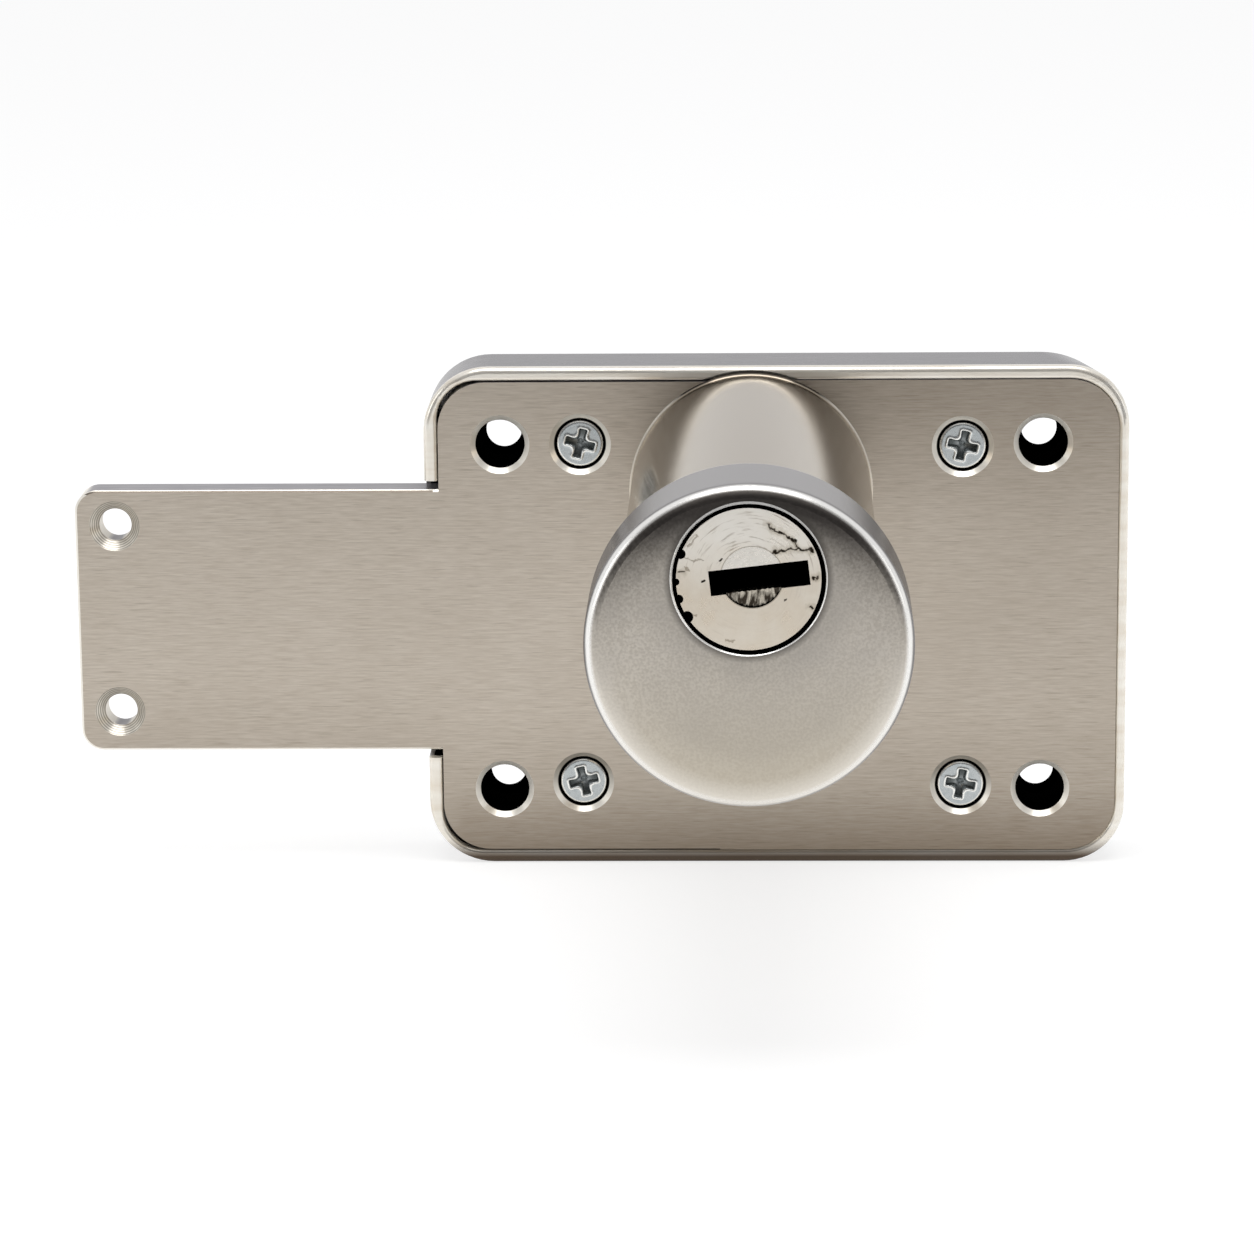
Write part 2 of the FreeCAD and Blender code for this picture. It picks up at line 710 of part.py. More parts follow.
def plug_retainer_screw():
    """Grub screw from below whose tip runs in the plug's groove."""
    shoulder_z = plug_z - plug_bore_radius - retainer_end_gap
    tip_z = plug_z - groove_bottom_radius - retainer_end_gap
    screw = upright(chamber_radius, chamber_floor_z, shoulder_z, plug_x, groove_y)
    screw = screw.fuse(upright(retainer_tip_radius, shoulder_z, tip_z, plug_x, groove_y))
    half = cross_arm_width / 2
    slot = block(
        plug_x - chamber_radius, plug_x + chamber_radius, groove_y - half, groove_y + half,
        chamber_floor_z, chamber_floor_z + 2 * half,
    )
    return screw.cut(slot)


def involute(angle):
    """Involute function of an angle in radians."""
    return math.tan(angle) - angle


def gear_wheel(teeth, module, y0, y1, x, z, first_tooth):
    """Spur gear with involute flanks; first_tooth is the direction of one tooth in the XZ plane."""
    pressure = math.radians(pressure_angle)
    pitch_radius = module * teeth / 2
    base_radius = pitch_radius * math.cos(pressure)
    tip_radius = pitch_radius + tooth_addendum * module
    root_radius = pitch_radius - tooth_dedendum * module
    half_tooth = (math.pi * module / 2 - tooth_backlash) / (2 * pitch_radius)
    flank_start = max(base_radius, root_radius)
    flank_steps = 4
    flank = []
    for i in range(flank_steps + 1):
        radius = flank_start + (tip_radius - flank_start) * i / flank_steps
        roll = math.acos(min(1.0, base_radius / radius))
        flank.append((radius, half_tooth + involute(pressure) - involute(roll)))
    if root_radius < flank_start:
        flank.insert(0, (root_radius, flank[0][1]))
    corners = []
    for k in range(teeth):
        middle = first_tooth + 2 * math.pi * k / teeth
        corners += [(radius, middle - angle) for radius, angle in flank]
        corners += [(radius, middle + angle) for radius, angle in reversed(flank)]
    points = [point(x + r * math.cos(a), y0, z + r * math.sin(a)) for r, a in corners]
    face = Part.Face(Part.makePolygon(points + points[:1]))
    return face.extrude(point(0, y1 - y0, 0))


def drive_pinion():
    """Pinion on the bar, with a hub that runs in the plate."""
    pinion = gear_wheel(drive_teeth, gear_module, gear_front_y, gear_back_y, plug_x, plug_z, -math.pi / 2)
    pinion = pinion.fuse(rod(drive_hub_radius, front_y + end_gap, gear_front_y, plug_x, plug_z))
    return pinion.cut(tail_slot(front_y, gear_back_y)).removeSplitter()


def reduction_gear():
    """Large wheel and rack pinion in one piece, on the axle."""
    half_gap = math.pi / wheel_teeth
    wheel = gear_wheel(wheel_teeth, gear_module, gear_front_y, gear_back_y, plug_x, axle_z,
                       math.pi / 2 + half_gap)
    pinion_end_y = inner_back_y - end_gap
    pinion = gear_wheel(rack_pinion_teeth, rack_module, gear_back_y, pinion_end_y, plug_x, axle_z,
                        -math.pi / 2)
    bore = rod(axle_radius + axle_running_gap, gear_front_y, pinion_end_y, plug_x, axle_z)
    return wheel.fuse(pinion).cut(bore).removeSplitter()


def gear_axle():
    """Pin fixed in the back wall and the plate, which the reduction gear turns on."""
    return rod(axle_radius, pin_end_y, pin_start_y, plug_x, axle_z)


def bolt_guide_pins():
    """Two studs fixed in the back wall, which the bolt slides on; the wheel turns in front of one."""
    front = bolt_front_y - guide_pin_proud
    return Part.makeCompound([rod(guide_pin_radius, front, pin_start_y, x, z) for x, z in guide_places])


def bolt():
    """Flat bolt: a tall head at the right, and a tail whose upper edge is the rack."""
    slope = math.tan(math.radians(pressure_angle))
    pitch = math.pi * rack_module
    half_gap = (pitch / 2 + tooth_backlash) / 2
    half_mouth = half_gap + tooth_addendum * rack_module * slope
    half_floor = half_gap - tooth_dedendum * rack_module * slope
    head_left = plug_x + rack_pinion_pitch_radius + tooth_addendum * rack_module + bolt_head_gap
    rack_gaps = int(round(bolt_travel / pitch)) + rack_spare_gaps
    tail_left = plug_x - bolt_travel - pitch * rack_end_pitches - bolt_tail_end
    head_right = right_x - bolt_end_sink
    outline = [(head_left, bolt_half_height), (head_left, rack_tip_z)]
    for k in range(-1, rack_gaps):
        middle = plug_x - k * pitch
        outline += [
            (middle + half_mouth, rack_tip_z), (middle + half_floor, rack_root_z),
            (middle - half_floor, rack_root_z), (middle - half_mouth, rack_tip_z),
        ]
    outline += [(tail_left, rack_tip_z), (tail_left, -bolt_half_height)]
    outline += [(head_right, -bolt_half_height), (head_right, bolt_half_height)]
    points = [point(x, bolt_front_y, z) for x, z in outline]
    body = Part.Face(Part.makePolygon(points + points[:1]))
    body = body.extrude(point(0, bolt_back_y - bolt_front_y, 0))
    tip_edges = [
        e
        for e in body.Edges
        if e.BoundBox.XMin > head_right - 0.01 and e.BoundBox.ZLength < 0.01
    ]
    body = body.makeFillet(bolt_tip_round, tip_edges)
    slot_half = guide_pin_radius + guide_slot_gap
    for x, z in guide_places:
        left = x - bolt_travel - guide_slot_end
        right = x + guide_slot_end
        body = body.cut(block(left, right, bolt_front_y, bolt_back_y, z - slot_half, z + slot_half))
        for end in (left, right):
            body = body.cut(rod(slot_half, bolt_front_y, bolt_back_y, end, z))
    return body.removeSplitter()


os.makedirs("parts", exist_ok=True)

pieces = {
    "case_shell": case_shell(),
    "front_plate": front_plate(),
    "cover_screws": cover_screws(),
    "mounting_sleeves": mounting_sleeves(),
    "barrel_housing": barrel_housing(),
    "barrel_screws": barrel_screws(),
    "barrel_head": barrel_head(),
    "plug": plug(),
    "plug_face_insert": plug_face_insert(),
    "chamber_plugs": chamber_plugs(),
    "plug_retainer_screw": plug_retainer_screw(),
    "tail_bar": tail_bar(),
    "drive_pinion": drive_pinion(),
    "reduction_gear": reduction_gear(),
    "gear_axle": gear_axle(),
    "bolt_guide_pins": bolt_guide_pins(),
    "bolt": bolt(),
}
for number, row_y in enumerate(pin_rows, start=1):
    pieces["key_pin_" + str(number)] = key_pin(row_y)
    pieces["driver_pin_" + str(number)] = driver_pin(row_y)
    pieces["pin_spring_" + str(number)] = pin_spring(row_y)

for name, shape in pieces.items():
    shape.exportStep("parts/" + name + ".step")

print("bolt travel", round(bolt_travel, 4), "axle z", round(axle_z, 4), "rack z", round(rack_z, 4))
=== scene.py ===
import math

import bpy
import numpy as np
from mathutils import Matrix, Vector


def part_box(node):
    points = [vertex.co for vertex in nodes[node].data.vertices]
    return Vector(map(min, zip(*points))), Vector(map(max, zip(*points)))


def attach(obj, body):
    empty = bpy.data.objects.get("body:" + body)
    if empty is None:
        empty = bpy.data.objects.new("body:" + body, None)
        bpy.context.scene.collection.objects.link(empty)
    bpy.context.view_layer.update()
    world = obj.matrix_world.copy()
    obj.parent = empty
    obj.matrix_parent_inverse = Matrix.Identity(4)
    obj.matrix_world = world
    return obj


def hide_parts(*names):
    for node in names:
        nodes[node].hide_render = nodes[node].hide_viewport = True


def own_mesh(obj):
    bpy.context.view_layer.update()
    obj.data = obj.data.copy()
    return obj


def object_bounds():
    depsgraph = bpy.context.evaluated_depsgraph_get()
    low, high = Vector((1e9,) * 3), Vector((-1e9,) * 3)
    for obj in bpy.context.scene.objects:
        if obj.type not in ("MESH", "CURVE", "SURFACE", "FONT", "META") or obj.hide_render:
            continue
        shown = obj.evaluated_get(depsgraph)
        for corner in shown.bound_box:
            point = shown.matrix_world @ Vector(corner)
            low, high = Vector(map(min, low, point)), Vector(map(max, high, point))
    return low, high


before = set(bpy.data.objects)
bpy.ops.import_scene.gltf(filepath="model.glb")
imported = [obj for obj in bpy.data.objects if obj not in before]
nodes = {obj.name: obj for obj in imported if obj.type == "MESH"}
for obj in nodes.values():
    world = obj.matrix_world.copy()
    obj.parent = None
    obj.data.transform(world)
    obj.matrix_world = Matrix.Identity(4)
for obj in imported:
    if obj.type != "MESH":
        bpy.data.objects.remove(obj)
cad_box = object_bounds()

# Case shell. A shallow box of pressed steel, nickel plated and dull on its walls, with a rolled rim that
# is polished bright. It holds the whole works and is fixed to the door by four screws through its back.
# Its walls are painted paler where they face sideways and darker where they face up, as painted light and
# shade; the rim's lowest band is painted brown as shade, and its inside and corner bores as black shade.

millimetre = 0.001
case_low, case_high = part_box("case_shell")
rim_end = case_low.y + 1.2 * millimetre
rim_blur = 0.1 * millimetre
low_rim_shade_band = (case_low.z + 0.7 * millimetre, case_low.z + 2.8 * millimetre)
hole_places = (30.8 * millimetre, 20.2 * millimetre)
hole_shift = -0.5 * millimetre
back_hole_radius = 2.9 * millimetre
hollow_half_width = case_high.x - 0.5 * millimetre
hollow_half_height = case_high.z - 9.0 * millimetre
back_wall_start = -1.0 * millimetre

black = (0.001, 0.001, 0.001)
upward_shaded_wall_greys = ((0.215, 0.205, 0.215), (0.27, 0.26, 0.27))
sideways_lit_wall_greys = ((0.37, 0.355, 0.345), (0.47, 0.455, 0.44))
rim_nickel = ((0.84, 0.775, 0.67), (0.97, 0.94, 0.87))
low_rim_shade_brown = (0.04, 0.016, 0.002)
bevel_metal = 0.6


def start_metal(name):
    """A metal finish: one fully metallic surface shader, still without its colour and roughness."""
    material = bpy.data.materials.new(name)
    material.use_nodes = True
    tree = material.node_tree
    surface = tree.nodes["Principled BSDF"]
    surface.inputs["Metallic"].default_value = 1.0
    return material, tree, surface


def feed(tree, socket, value):
    """Puts a number, a colour or another node's output into a socket."""
    if isinstance(value, bpy.types.NodeSocket):
        tree.links.new(value, socket)
    elif isinstance(value, tuple):
        socket.default_value = (*value, 1.0)
    else:
        socket.default_value = value


def work_out(tree, operation, *values):
    """One step of arithmetic on numbers or node outputs."""
    node = tree.nodes.new("ShaderNodeMath")
    node.operation = operation
    for socket, value in zip(node.inputs, values):
        feed(tree, socket, value)
    return node.outputs["Value"]


def product(tree, first, *others):
    """Several shares multiplied together: 1 only where all of them are 1."""
    for other in others:
        first = work_out(tree, "MULTIPLY", first, other)
    return first


def offset(tree, value, origin):
    """How far a value lies past an origin: their difference."""
    return work_out(tree, "SUBTRACT", value, origin)


def size_of(tree, value):
    """A value without its sign."""
    return work_out(tree, "ABSOLUTE", value)


def under(tree, value, limit):
    """1 where a value is under a limit, else 0."""
    return work_out(tree, "LESS_THAN", value, limit)


def over(tree, value, limit):
    """1 where a value is over a limit, else 0."""
    return work_out(tree, "GREATER_THAN", value, limit)


def axes(tree, output="Object"):
    """The three parts of the object's own place, or of its normal."""
    place = tree.nodes.new("ShaderNodeTexCoord")
    split = tree.nodes.new("ShaderNodeSeparateXYZ")
    tree.links.new(place.outputs[output], split.inputs["Vector"])
    return split.outputs["X"], split.outputs["Y"], split.outputs["Z"]


def reach_from(tree, x, z, centre_x, centre_z):
    """Distance of a point from an axis along Y: the root of the sum of both squares."""
    across = offset(tree, x, centre_x)
    height = offset(tree, z, centre_z)
    squares = work_out(tree, "ADD", product(tree, across, across), product(tree, height, height))
    return work_out(tree, "SQRT", squares)


def reach_from_holes(tree, x, z):
    """Distance from the nearest of the four corner holes, whose places mirror each other."""
    side = size_of(tree, offset(tree, x, hole_shift))
    return reach_from(tree, side, size_of(tree, z), *hole_places)


def grain(tree, stretch, detail=3.0, shift=(0.0, 0.0, 0.0)):
    """Noise on the object's place, with its cells per metre along X, Y and Z."""
    place = tree.nodes.new("ShaderNodeTexCoord")
    mapping = tree.nodes.new("ShaderNodeMapping")
    mapping.inputs["Scale"].default_value = stretch
    mapping.inputs["Location"].default_value = shift
    noise = tree.nodes.new("ShaderNodeTexNoise")
    noise.inputs["Scale"].default_value = 1.0
    noise.inputs["Detail"].default_value = detail
    tree.links.new(place.outputs["Object"], mapping.inputs["Vector"])
    tree.links.new(mapping.outputs["Vector"], noise.inputs["Vector"])
    return noise.outputs["Fac"]


def spread(tree, value, low, high, from_low=0.3, from_high=0.7):
    """A value carried from one range to another, and kept inside it."""
    node = tree.nodes.new("ShaderNodeMapRange")
    node.inputs["From Min"].default_value = from_low
    node.inputs["From Max"].default_value = from_high
    node.inputs["To Min"].default_value = low
    node.inputs["To Max"].default_value = high
    tree.links.new(value, node.inputs["Value"])
    return node.outputs["Result"]


def fade(tree, place, start, end, low=0.0, high=1.0):
    """A share that goes from low to high while a place goes from start to end, both in millimetres."""
    return spread(tree, place, low, high, start * millimetre, end * millimetre)


def tint(tree, share, first, second):
    """A colour between two, by a share from 0 to 1; either may be a node's output."""
    node = tree.nodes.new("ShaderNodeMix")
    node.data_type = "RGBA"
    feed(tree, node.inputs[6], first)
    feed(tree, node.inputs[7], second)
    feed(tree, node.inputs[0], share)
    return node.outputs[2]


def varied(tree, noise, colours, from_low=0.3, from_high=0.7):
    """A colour that goes between two as a noise goes from its low level to its high one."""
    return tint(tree, spread(tree, noise, 0.0, 1.0, from_low, from_high), *colours)


def blend_value(tree, share, first, second):
    """A number between two, by a share from 0 to 1."""
    node = tree.nodes.new("ShaderNodeMix")
    feed(tree, node.inputs[2], first)
    feed(tree, node.inputs[3], second)
    feed(tree, node.inputs[0], share)
    return node.outputs[0]


def emboss(tree, surface, value, depth):
    """Fine relief of that depth in metres, from a value from 0 to 1."""
    node = tree.nodes.new("ShaderNodeBump")
    node.inputs["Distance"].default_value = depth
    node.inputs["Strength"].default_value = 1.0
    tree.links.new(value, node.inputs["Height"])
    tree.links.new(node.outputs["Normal"], surface.inputs["Normal"])


def painted_shade_surface(tree, surface, share, metal=1.0):
    """Where the share is 1 the surface is neither metal nor glossy, so that black painted there stands as
    painted shade, as deep in a bore.
    """
    feed(tree, surface.inputs["Metallic"], blend_value(tree, share, metal, 0.0))
    surface.inputs["Specular IOR Level"].default_value = 0.0


def dress(name, material):
    """Puts a finish on a CAD node's own slots."""
    for holder in nodes[name].material_slots:
        holder.material = material


case_finish, tree, surface = start_metal("case_nickel")
case_x, case_y, case_z = axes(tree)
_, normal_y, normal_z = axes(tree, "Normal")
streaks = grain(tree, (160.0, 3000.0, 3000.0))
# Painted light and shade: walls facing sideways are painted paler, walls facing up darker.
faces_sideways = spread(tree, normal_z, 1.0, 0.0, 0.2, 0.7)
wall_colour = tint(
    tree, faces_sideways, varied(tree, streaks, upward_shaded_wall_greys), varied(tree, streaks, sideways_lit_wall_greys),
)
on_rim = spread(tree, case_y, 1.0, 0.0, rim_end - rim_blur, rim_end)
rim_colour = varied(tree, grain(tree, (90.0, 900.0, 900.0)), rim_nickel)
# Painted shade: the rim's lowest band is painted dark brown.
rim_colour = tint(tree, spread(tree, case_z, 0.08, 1.0, *low_rim_shade_band), low_rim_shade_brown, rim_colour)
# Painted shade: the bores of the corner holes and the case's inside beyond the rim are painted black,
# neither metal nor glossy.
in_hole = product(
    tree, under(tree, reach_from_holes(tree, case_x, case_z), back_hole_radius), under(tree, normal_y, 0.5),
)
inside = product(
    tree,
    under(tree, size_of(tree, case_x), hollow_half_width),
    under(tree, size_of(tree, case_z), hollow_half_height),
    spread(tree, case_y, 0.0, 1.0, rim_end, rim_end + rim_blur),
    under(tree, case_y, back_wall_start),
)
in_shade = work_out(tree, "MAXIMUM", in_hole, inside)
plain = tint(tree, on_rim, wall_colour, rim_colour)
feed(tree, surface.inputs["Base Color"], tint(tree, in_shade, plain, black))
feed(tree, surface.inputs["Roughness"], blend_value(tree, on_rim, spread(tree, streaks, 0.2, 0.3), 0.2))
painted_shade_surface(tree, surface, in_shade, blend_value(tree, on_rim, 1.0, bevel_metal))
emboss(tree, surface, streaks, 1.5e-6)
dress("case_shell", case_finish)

# Gears, axle and studs. Milled and turned from tool steel, lightly oiled, and run dry on each other.

mill_marks = (1200.0, 260.0, 1200.0)
mill_greys = ((0.30, 0.30, 0.315), (0.41, 0.41, 0.42))


def marked_metal(name, stretch, detail, colours, roughness, relief=0.0):
    """A metal whose colour, roughness and relief follow one stretched noise, as the tool leaves it."""
    material, tree, surface = start_metal(name)
    marks = grain(tree, stretch, detail)
    feed(tree, surface.inputs["Base Color"], varied(tree, marks, colours))
    feed(tree, surface.inputs["Roughness"], spread(tree, marks, *roughness))
    if relief:
        emboss(tree, surface, marks, relief)
    return material


gear_finish = marked_metal("milled_steel", mill_marks, 4.0, mill_greys, (0.22, 0.4), 4e-6)
for name in ("drive_pinion", "reduction_gear", "gear_axle", "bolt_guide_pins", "tail_bar"):
    dress(name, gear_finish)

# Bolt. A flat steel slide, ground along its length and nickel plated, with the rack cut in its tail.

grinding_marks = (120.0, 4200.0, 4200.0)
bolt_greys = ((0.43, 0.42, 0.40), (0.55, 0.54, 0.515))

bolt_finish = marked_metal("ground_bolt", grinding_marks, 4.0, bolt_greys, (0.2, 0.34), 2e-6)
dress("bolt", bolt_finish)

# Mounting sleeves. Four short steel tubes between the plate and the case's back, painted black and neither
# metal nor glossy, as painted shade deep in the corner holes.

sleeve_shade_blacks = ((0.001, 0.001, 0.001), (0.004, 0.0035, 0.003))

sleeve_finish, tree, surface = start_metal("sleeve_painted_shade")
feed(tree, surface.inputs["Base Color"], varied(tree, grain(tree, (900.0, 900.0, 900.0)), sleeve_shade_blacks))
surface.inputs["Roughness"].default_value = 0.6
surface.inputs["Metallic"].default_value = 0.0
surface.inputs["Specular IOR Level"].default_value = 0.0
dress("mounting_sleeves", sleeve_finish)

# Front plate and tongue. One sheet of steel 4 mm thick, nickel plated and brushed along the tongue, so
# that its face is a warm grey with fine lengthwise streaks, while its edges and the bevels of its holes
# are bright. Painted shade darkens the face towards the right, the upper right corner and the bottom,
# the down-facing bevels, the up-facing edges and a line on the tongue's top chamfer; the bores and the
# screw seats' walls are painted black as shade.

plate_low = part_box("front_plate")[0]
plate_bore_radius = 2.8 * millimetre
plate_bevel_end = plate_low.y + 0.57 * millimetre
tongue_hole_place = (plate_low.x + 4.5 * millimetre, 10.9 * millimetre)
tongue_sink_radius = 3.2 * millimetre
turning_pitch = 0.22 * millimetre
seat_place = (21.7 * millimetre, 19.8 * millimetre)
seat_lift = 0.4 * millimetre
seat_bevel_radius = 3.6 * millimetre
seat_wall_start = plate_low.y + 0.1 * millimetre
tongue_start = -39.0 * millimetre
tongue_top_line = 14.5 * millimetre
tongue_chamfer_end = plate_low.y + 0.17 * millimetre

brushed_nickel = ((0.507, 0.445, 0.372), (0.65, 0.588, 0.508))
scratch_brown = (0.36, 0.31, 0.255)
cloud_brown = (0.47, 0.41, 0.335)
shade_brown = (0.07, 0.032, 0.0)
bevel_nickel = (0.92, 0.88, 0.80)
turned_groove = (0.42, 0.38, 0.32)
bevel_shade = (0.27, 0.235, 0.19)
top_line_brown = (0.20, 0.17, 0.14)
top_edge_greys = ((0.30, 0.29, 0.31), (0.44, 0.43, 0.44))

# Each painted fade of shade over the plate's face: from and to in millimetres, and the share at either end.
rightwards = (0.0, 30.0, 1.0, 0.90)
upper_right = ((0.0, 18.0), (10.0, 25.0))
case_foot = ((-19.0, -11.0, 0.84, 1.0), (-27.5, -19.5, 0.48, 1.0))
tongue_foot = (-15.0, -6.0, 0.86, 1.0)
tongue_to_case = (-46.0, -36.0)
seat_wall = (2.93, 3.0, 1.0, 0.0)

plate_finish, tree, surface = start_metal("plate_nickel")
plate_x, plate_y, plate_z = axes(tree)
_, normal_y, normal_z = axes(tree, "Normal")
hair = grain(tree, (520.0, 7400.0, 7400.0))
strands = grain(tree, (230.0, 3600.0, 3600.0), 4.0, (0.37, 0.0, 0.61))
clouds = grain(tree, (55.0, 70.0, 75.0), 3.0, (0.13, 0.0, 0.29))
brushing = work_out(tree, "ADD", product(tree, hair, 0.5), product(tree, strands, 0.5))
face = varied(tree, brushing, brushed_nickel, 0.38, 0.62)
scratches = grain(tree, (240.0, 5600.0, 5600.0), 4.0, (0.9, 0.0, 0.4))
face = tint(tree, spread(tree, scratches, 0.55, 0.0, 0.33, 0.41), face, scratch_brown)
face = tint(tree, spread(tree, clouds, 0.0, 0.25), face, cloud_brown)
high_right = product(tree, fade(tree, plate_x, *upper_right[0]), fade(tree, plate_z, *upper_right[1]))
low_edge = product(tree, fade(tree, plate_z, *case_foot[0]), fade(tree, plate_z, *case_foot[1]))
low_edge = blend_value(
    tree, fade(tree, plate_x, *tongue_to_case), fade(tree, plate_z, *tongue_foot), low_edge,
)
# Painted shade: the face is darker towards the right, the upper right corner and the bottom.
face_shade = product(
    tree, fade(tree, plate_x, *rightwards), spread(tree, high_right, 1.0, 0.78, 0.0, 1.0), low_edge,
)
face = tint(tree, face_shade, shade_brown, face)
# Painted shade: the bores of the corner holes and the walls of the screw seats are painted black.
in_bore = product(
    tree, under(tree, reach_from_holes(tree, plate_x, plate_z), plate_bore_radius),
    over(tree, plate_y, plate_bevel_end),
)
seat_shift = product(tree, under(tree, plate_x, 0.0), seat_lift)
seat_x = size_of(tree, offset(tree, plate_x, hole_shift))
seat_z = size_of(tree, offset(tree, plate_z, seat_shift))
seat_reach = reach_from(tree, seat_x, seat_z, *seat_place)
in_seat = product(tree, fade(tree, seat_reach, *seat_wall), over(tree, plate_y, seat_wall_start))
in_bore = work_out(tree, "MAXIMUM", in_bore, in_seat)
off_face = spread(tree, size_of(tree, normal_y), 1.0, 0.0, 0.9, 0.97)
sink_reach = reach_from(tree, plate_x, size_of(tree, plate_z), *tongue_hole_place)
ring_wave = work_out(tree, "SINE", product(tree, sink_reach, 2 * math.pi / turning_pitch))
turned = product(
    tree, spread(tree, ring_wave, 1.0, 0.0, -1.0, 1.0), under(tree, sink_reach, tongue_sink_radius),
)
bevel = tint(tree, turned, bevel_nickel, turned_groove)
# Painted shade: bevels that face down are darker, most of all round the lower screw seats.
faces_down = product(
    tree, spread(tree, normal_z, 0.85, 0.0, -0.45, 0.3),
    blend_value(tree, under(tree, plate_z, 0.0), 0.35, 1.0),
    under(tree, seat_reach, seat_bevel_radius),
)
bevel = tint(tree, faces_down, bevel, bevel_shade)
# Painted shade: a dark line along the tongue's top chamfer next to its face.
on_top_line = product(
    tree, under(tree, plate_x, tongue_start), over(tree, plate_z, tongue_top_line),
    under(tree, plate_y, tongue_chamfer_end),
)
bevel = tint(tree, on_top_line, bevel, top_line_brown)
# Painted shade: edges that face up are painted grey rather than bright.
bevel = tint(
    tree, spread(tree, normal_z, 0.0, 1.0, 0.85, 0.97), bevel, varied(tree, strands, top_edge_greys),
)
finished = tint(tree, off_face, face, bevel)
feed(tree, surface.inputs["Base Color"], tint(tree, in_bore, finished, black))
feed(tree, surface.inputs["Roughness"], blend_value(tree, off_face, spread(tree, brushing, 0.3, 0.42), 0.3))
painted_shade_surface(tree, surface, in_bore, blend_value(tree, off_face, 1.0, bevel_metal))
emboss(tree, surface, hair, 2.5e-6)
dress("front_plate", plate_finish)

# Cover screws. Four countersunk M3 screws of zinc plated steel, faintly blue. The cross recess is
# punched, which leaves a fine raised burr round it, and the thread is rolled. The burr and the head's
# outer edge are painted near white as highlights, and the recess is painted dark as shade, less in the
# middle. Sizes are in millimetres, turns in degrees.

head_top = plate_low.y / millimetre + 0.55
cover_screw_places = [(-22.2, 20.2, -15.0), (21.2, 19.8, -13.0), (-22.2, -19.4, 14.0), (21.2, -19.8, -10.0)]
cover_shank_radius = 1.45
cover_core_radius = 1.2
cover_profile = [
    (0.0, 2.36), (0.03, 2.48), (0.12, 2.6), (0.72, 2.6), (1.9, cover_shank_radius),
    (7.5, cover_shank_radius), (7.85, 1.15),
]
cover_thread = (2.1, 7.6, 0.5, cover_shank_radius - cover_core_radius)
recess_reach = 1.72
recess_half_width = 0.43
recess_flare = 0.18
recess_round = 0.2
recess_blend = 0.75
recess_wall = 0.2
recess_floor = 0.45
recess_dish = 0.65
recess_dip = 0.15
dip_width = 0.16
less_shade_middle_width = 0.42
head_edge_highlight_depth = 0.14
burr_height = 0.07
burr_width = 0.105
slot_half_width = 0.45
slot_wall = 0.1
slot_depth = 0.5

zinc_greys = ((0.44, 0.475, 0.485), (0.57, 0.60, 0.605))
recess_shade_grey = (0.027, 0.036, 0.034)
burr_highlight_white = (0.99, 0.99, 0.95)
zinc_metal = 0.85
recess_shade_metal = 0.6


def closed_surface(start, rings, end):
    """Points, squares and triangles of a surface of rings between two end points, with its faces outwards.

    A square joins each point to the next one round its ring and to the same two points of the next ring.
    The sum of each face's corner times the cross product of the next two is six times the volume; where
    it is negative, every face is turned over.
    """
    rows, columns = rings.shape[:2]
    points = np.concatenate([np.reshape(start, (1, 3)), rings.reshape(-1, 3), np.reshape(end, (1, 3))])
    here = 1 + np.arange(rows * columns).reshape(rows, columns)
    beside = np.roll(here, -1, axis=1)
    squares = np.stack([here[:-1], beside[:-1], beside[1:], here[1:]], -1).reshape(-1, 4)
    first = np.zeros(columns, int)
    last = np.full(columns, len(points) - 1)
    caps = np.concatenate([
        np.stack([first, beside[0], here[0]], -1), np.stack([last, here[-1], beside[-1]], -1),
    ])
    triangles = np.concatenate([squares[:, [0, 1, 2]], squares[:, [0, 2, 3]], caps])
    corner = points[triangles]
    volume = np.sum(corner[:, 0] * np.cross(corner[:, 1], corner[:, 2]))
    if volume < 0:
        squares, caps = squares[:, ::-1], caps[:, ::-1]
    return points, squares, caps


def make_piece(name, surfaces, finish, marks=(), sharp=40.0):
    """One object from several closed surfaces, in millimetres, with named numbers stored on its points."""
    points, faces, start = [], [], 0
    for surface_points, squares, caps in surfaces:
        points.append(surface_points * millimetre)
        faces += (squares + start).tolist() + (caps + start).tolist()
        start += len(surface_points)
    mesh = bpy.data.meshes.new(name)
    mesh.from_pydata(np.concatenate(points).tolist(), [], faces)
    for mark, values in marks:
        attribute = mesh.attributes.new(mark, "FLOAT", "POINT")
        attribute.data.foreach_set("value", values.astype(np.float32))
    mesh.polygons.foreach_set("use_smooth", np.ones(len(faces), bool))
    mesh.set_sharp_from_angle(angle=math.radians(sharp))
    mesh.materials.append(finish)
    piece = bpy.data.objects.new(name, mesh)
    bpy.context.scene.collection.objects.link(piece)
    return piece


def arm_distance(across, along, reach, half_width):
    """Signed distance from one arm of the cross, a bar that widens outwards and has rounded corners.

    Outside the bar's inner box it is the distance to that box, less the rounding.
    """
    side = np.abs(across) - (reach - recess_round)
    flare = recess_flare * (np.abs(across) / reach - 0.5)
    rise = np.abs(along) - (half_width + flare - recess_round)
    outside = np.hypot(np.maximum(side, 0), np.maximum(rise, 0))
    return outside + np.minimum(np.maximum(side, rise), 0) - recess_round


